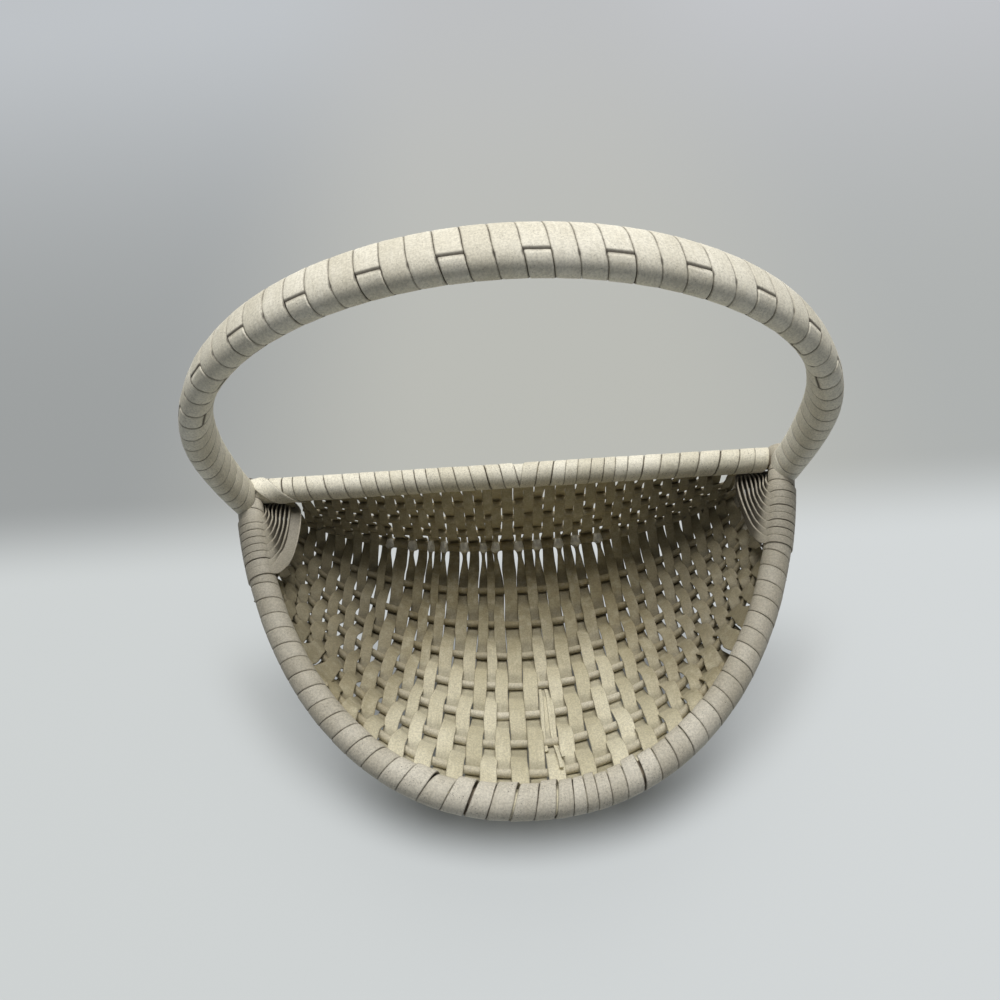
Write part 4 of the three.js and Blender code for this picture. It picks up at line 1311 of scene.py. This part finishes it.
def floor_material():
    """Shows its own colour to the camera, and shows the lit floor with its shadow round the basket."""
    nodes = Nodes("floor")
    parts = nodes.parts(nodes.add("ShaderNodeNewGeometry").outputs["Position"])
    away = nodes.span(parts["Y"], *BACK_RUN)
    left, middle, right = (nodes.mix(away, from_srgb(*near), from_srgb(*far)) for near, far in BACK_COLOURS)
    back = nodes.mix(nodes.span(parts["X"], -0.3, -0.05), left, middle)
    back = nodes.mix(nodes.span(parts["X"], 0.1, 0.35), back, right)
    front = nodes.mix(nodes.span(parts["X"], -0.3, 0.3), *(from_srgb(*colour) for colour in FRONT_COLOURS))
    colour = nodes.mix(nodes.span(parts["Y"], *TABLE_EDGE), front, back)

    across = nodes.math("POWER", nodes.math("DIVIDE", parts["X"], SHADE_HALF_WIDTH), 2.0)
    ahead = nodes.math("POWER", nodes.math("DIVIDE", parts["Y"], SHADE_DEPTH), 2.0)
    beyond = nodes.math("SQRT", nodes.plus(across, ahead))
    shade = nodes.span(beyond, *SHADE_EDGE, 1.0, 0.0)
    shade = nodes.times(shade, nodes.span(parts["Y"], *SHADE_RUN, 1.0, 0.0))
    shade = nodes.times(shade, nodes.span(nodes.size(parts["X"]), *SHADE_SIDES, *SHADE_AMOUNTS))
    path = nodes.add("ShaderNodeLightPath").outputs
    seen = nodes.math("MAXIMUM", path["Is Camera Ray"], path["Is Glossy Ray"])
    seen = nodes.math("MAXIMUM", seen, path["Is Transmission Ray"])
    share = nodes.times(seen, nodes.minus(GLOW_SHARE, shade))
    diffuse = nodes.add("ShaderNodeBsdfDiffuse", {"Color": colour}).outputs["BSDF"]
    glow = nodes.add("ShaderNodeEmission", {"Color": colour}).outputs["Emission"]
    surface = nodes.add("ShaderNodeMixShader", {0: share, 1: diffuse, 2: glow})
    nodes.add("ShaderNodeOutputMaterial", {"Surface": surface.outputs["Shader"]})
    return nodes.material


floor_height = cad_box[0].z - FLOOR_GAP
corners = [(x * FLOOR_HALF, y * FLOOR_HALF) for x, y in ((-1, -1), (1, -1), (1, 1), (-1, 1))]
floor_mesh = bpy.data.meshes.new("floor")
floor_mesh.from_pydata([(x, y, floor_height) for x, y in corners], [], [(0, 1, 2, 3)])
floor_mesh.materials.append(floor_material())
floor = bpy.data.objects.new("floor", floor_mesh)
bpy.context.scene.collection.objects.link(floor)


# Light: one broad lamp above and a little behind, and a dim even surround
LAMP_PLACE = Vector((0.05, 0.95, 1.85))
LAMP_TARGET = Vector((0, -0.05, 0))
LAMP_SIZE = 1.4
LAMP_POWER = 54
LAMP_COLOUR = (1, 0.985, 0.96)
SURROUND_COLOUR = (0.93, 0.96, 1, 1)
SURROUND_STRENGTH = 0.12
lamp = bpy.data.lights.new("overhead", "AREA")
lamp.size = LAMP_SIZE
lamp.energy = LAMP_POWER
lamp.color = LAMP_COLOUR
overhead = bpy.data.objects.new("overhead", lamp)
overhead.location = LAMP_PLACE
overhead.rotation_euler = (LAMP_TARGET - LAMP_PLACE).to_track_quat("-Z", "Y").to_euler()
bpy.context.scene.collection.objects.link(overhead)
world = bpy.data.worlds.new("surround")
world.use_nodes = True
surround = world.node_tree.nodes["Background"].inputs
surround["Color"].default_value = SURROUND_COLOUR
surround["Strength"].default_value = SURROUND_STRENGTH
bpy.context.scene.world = world
bpy.context.scene.view_settings.view_transform = "Standard"

# Camera at the photograph's viewing angle
CAMERA_PLACE = (1.668, -254.809 - WALL_PLANE, 338.111)
CAMERA_TILT = math.radians(53)
CAMERA_TURN = Vector((0.032, 0.022, -0.062))
CAMERA_LENS = 27
CAMERA_SENSOR = 36
camera_data = bpy.data.cameras.new("camera")
camera_data.lens = CAMERA_LENS
camera_data.sensor_width = CAMERA_SENSOR
camera_data.clip_start = 0.01
camera = bpy.data.objects.new("camera", camera_data)
down, forward = math.sin(CAMERA_TILT), math.cos(CAMERA_TILT)
base = Matrix(((1, 0, 0), (0, -down, -forward), (0, forward, -down)))
turned = Quaternion(CAMERA_TURN.normalized(), CAMERA_TURN.length).to_matrix() @ base
axes = Matrix((turned[0], -turned[1], -turned[2])).transposed()
camera.matrix_world = Matrix.Translation(Vector(CAMERA_PLACE) * MILLIMETRE) @ axes.to_4x4()
bpy.context.scene.collection.objects.link(camera)
bpy.context.scene.camera = camera
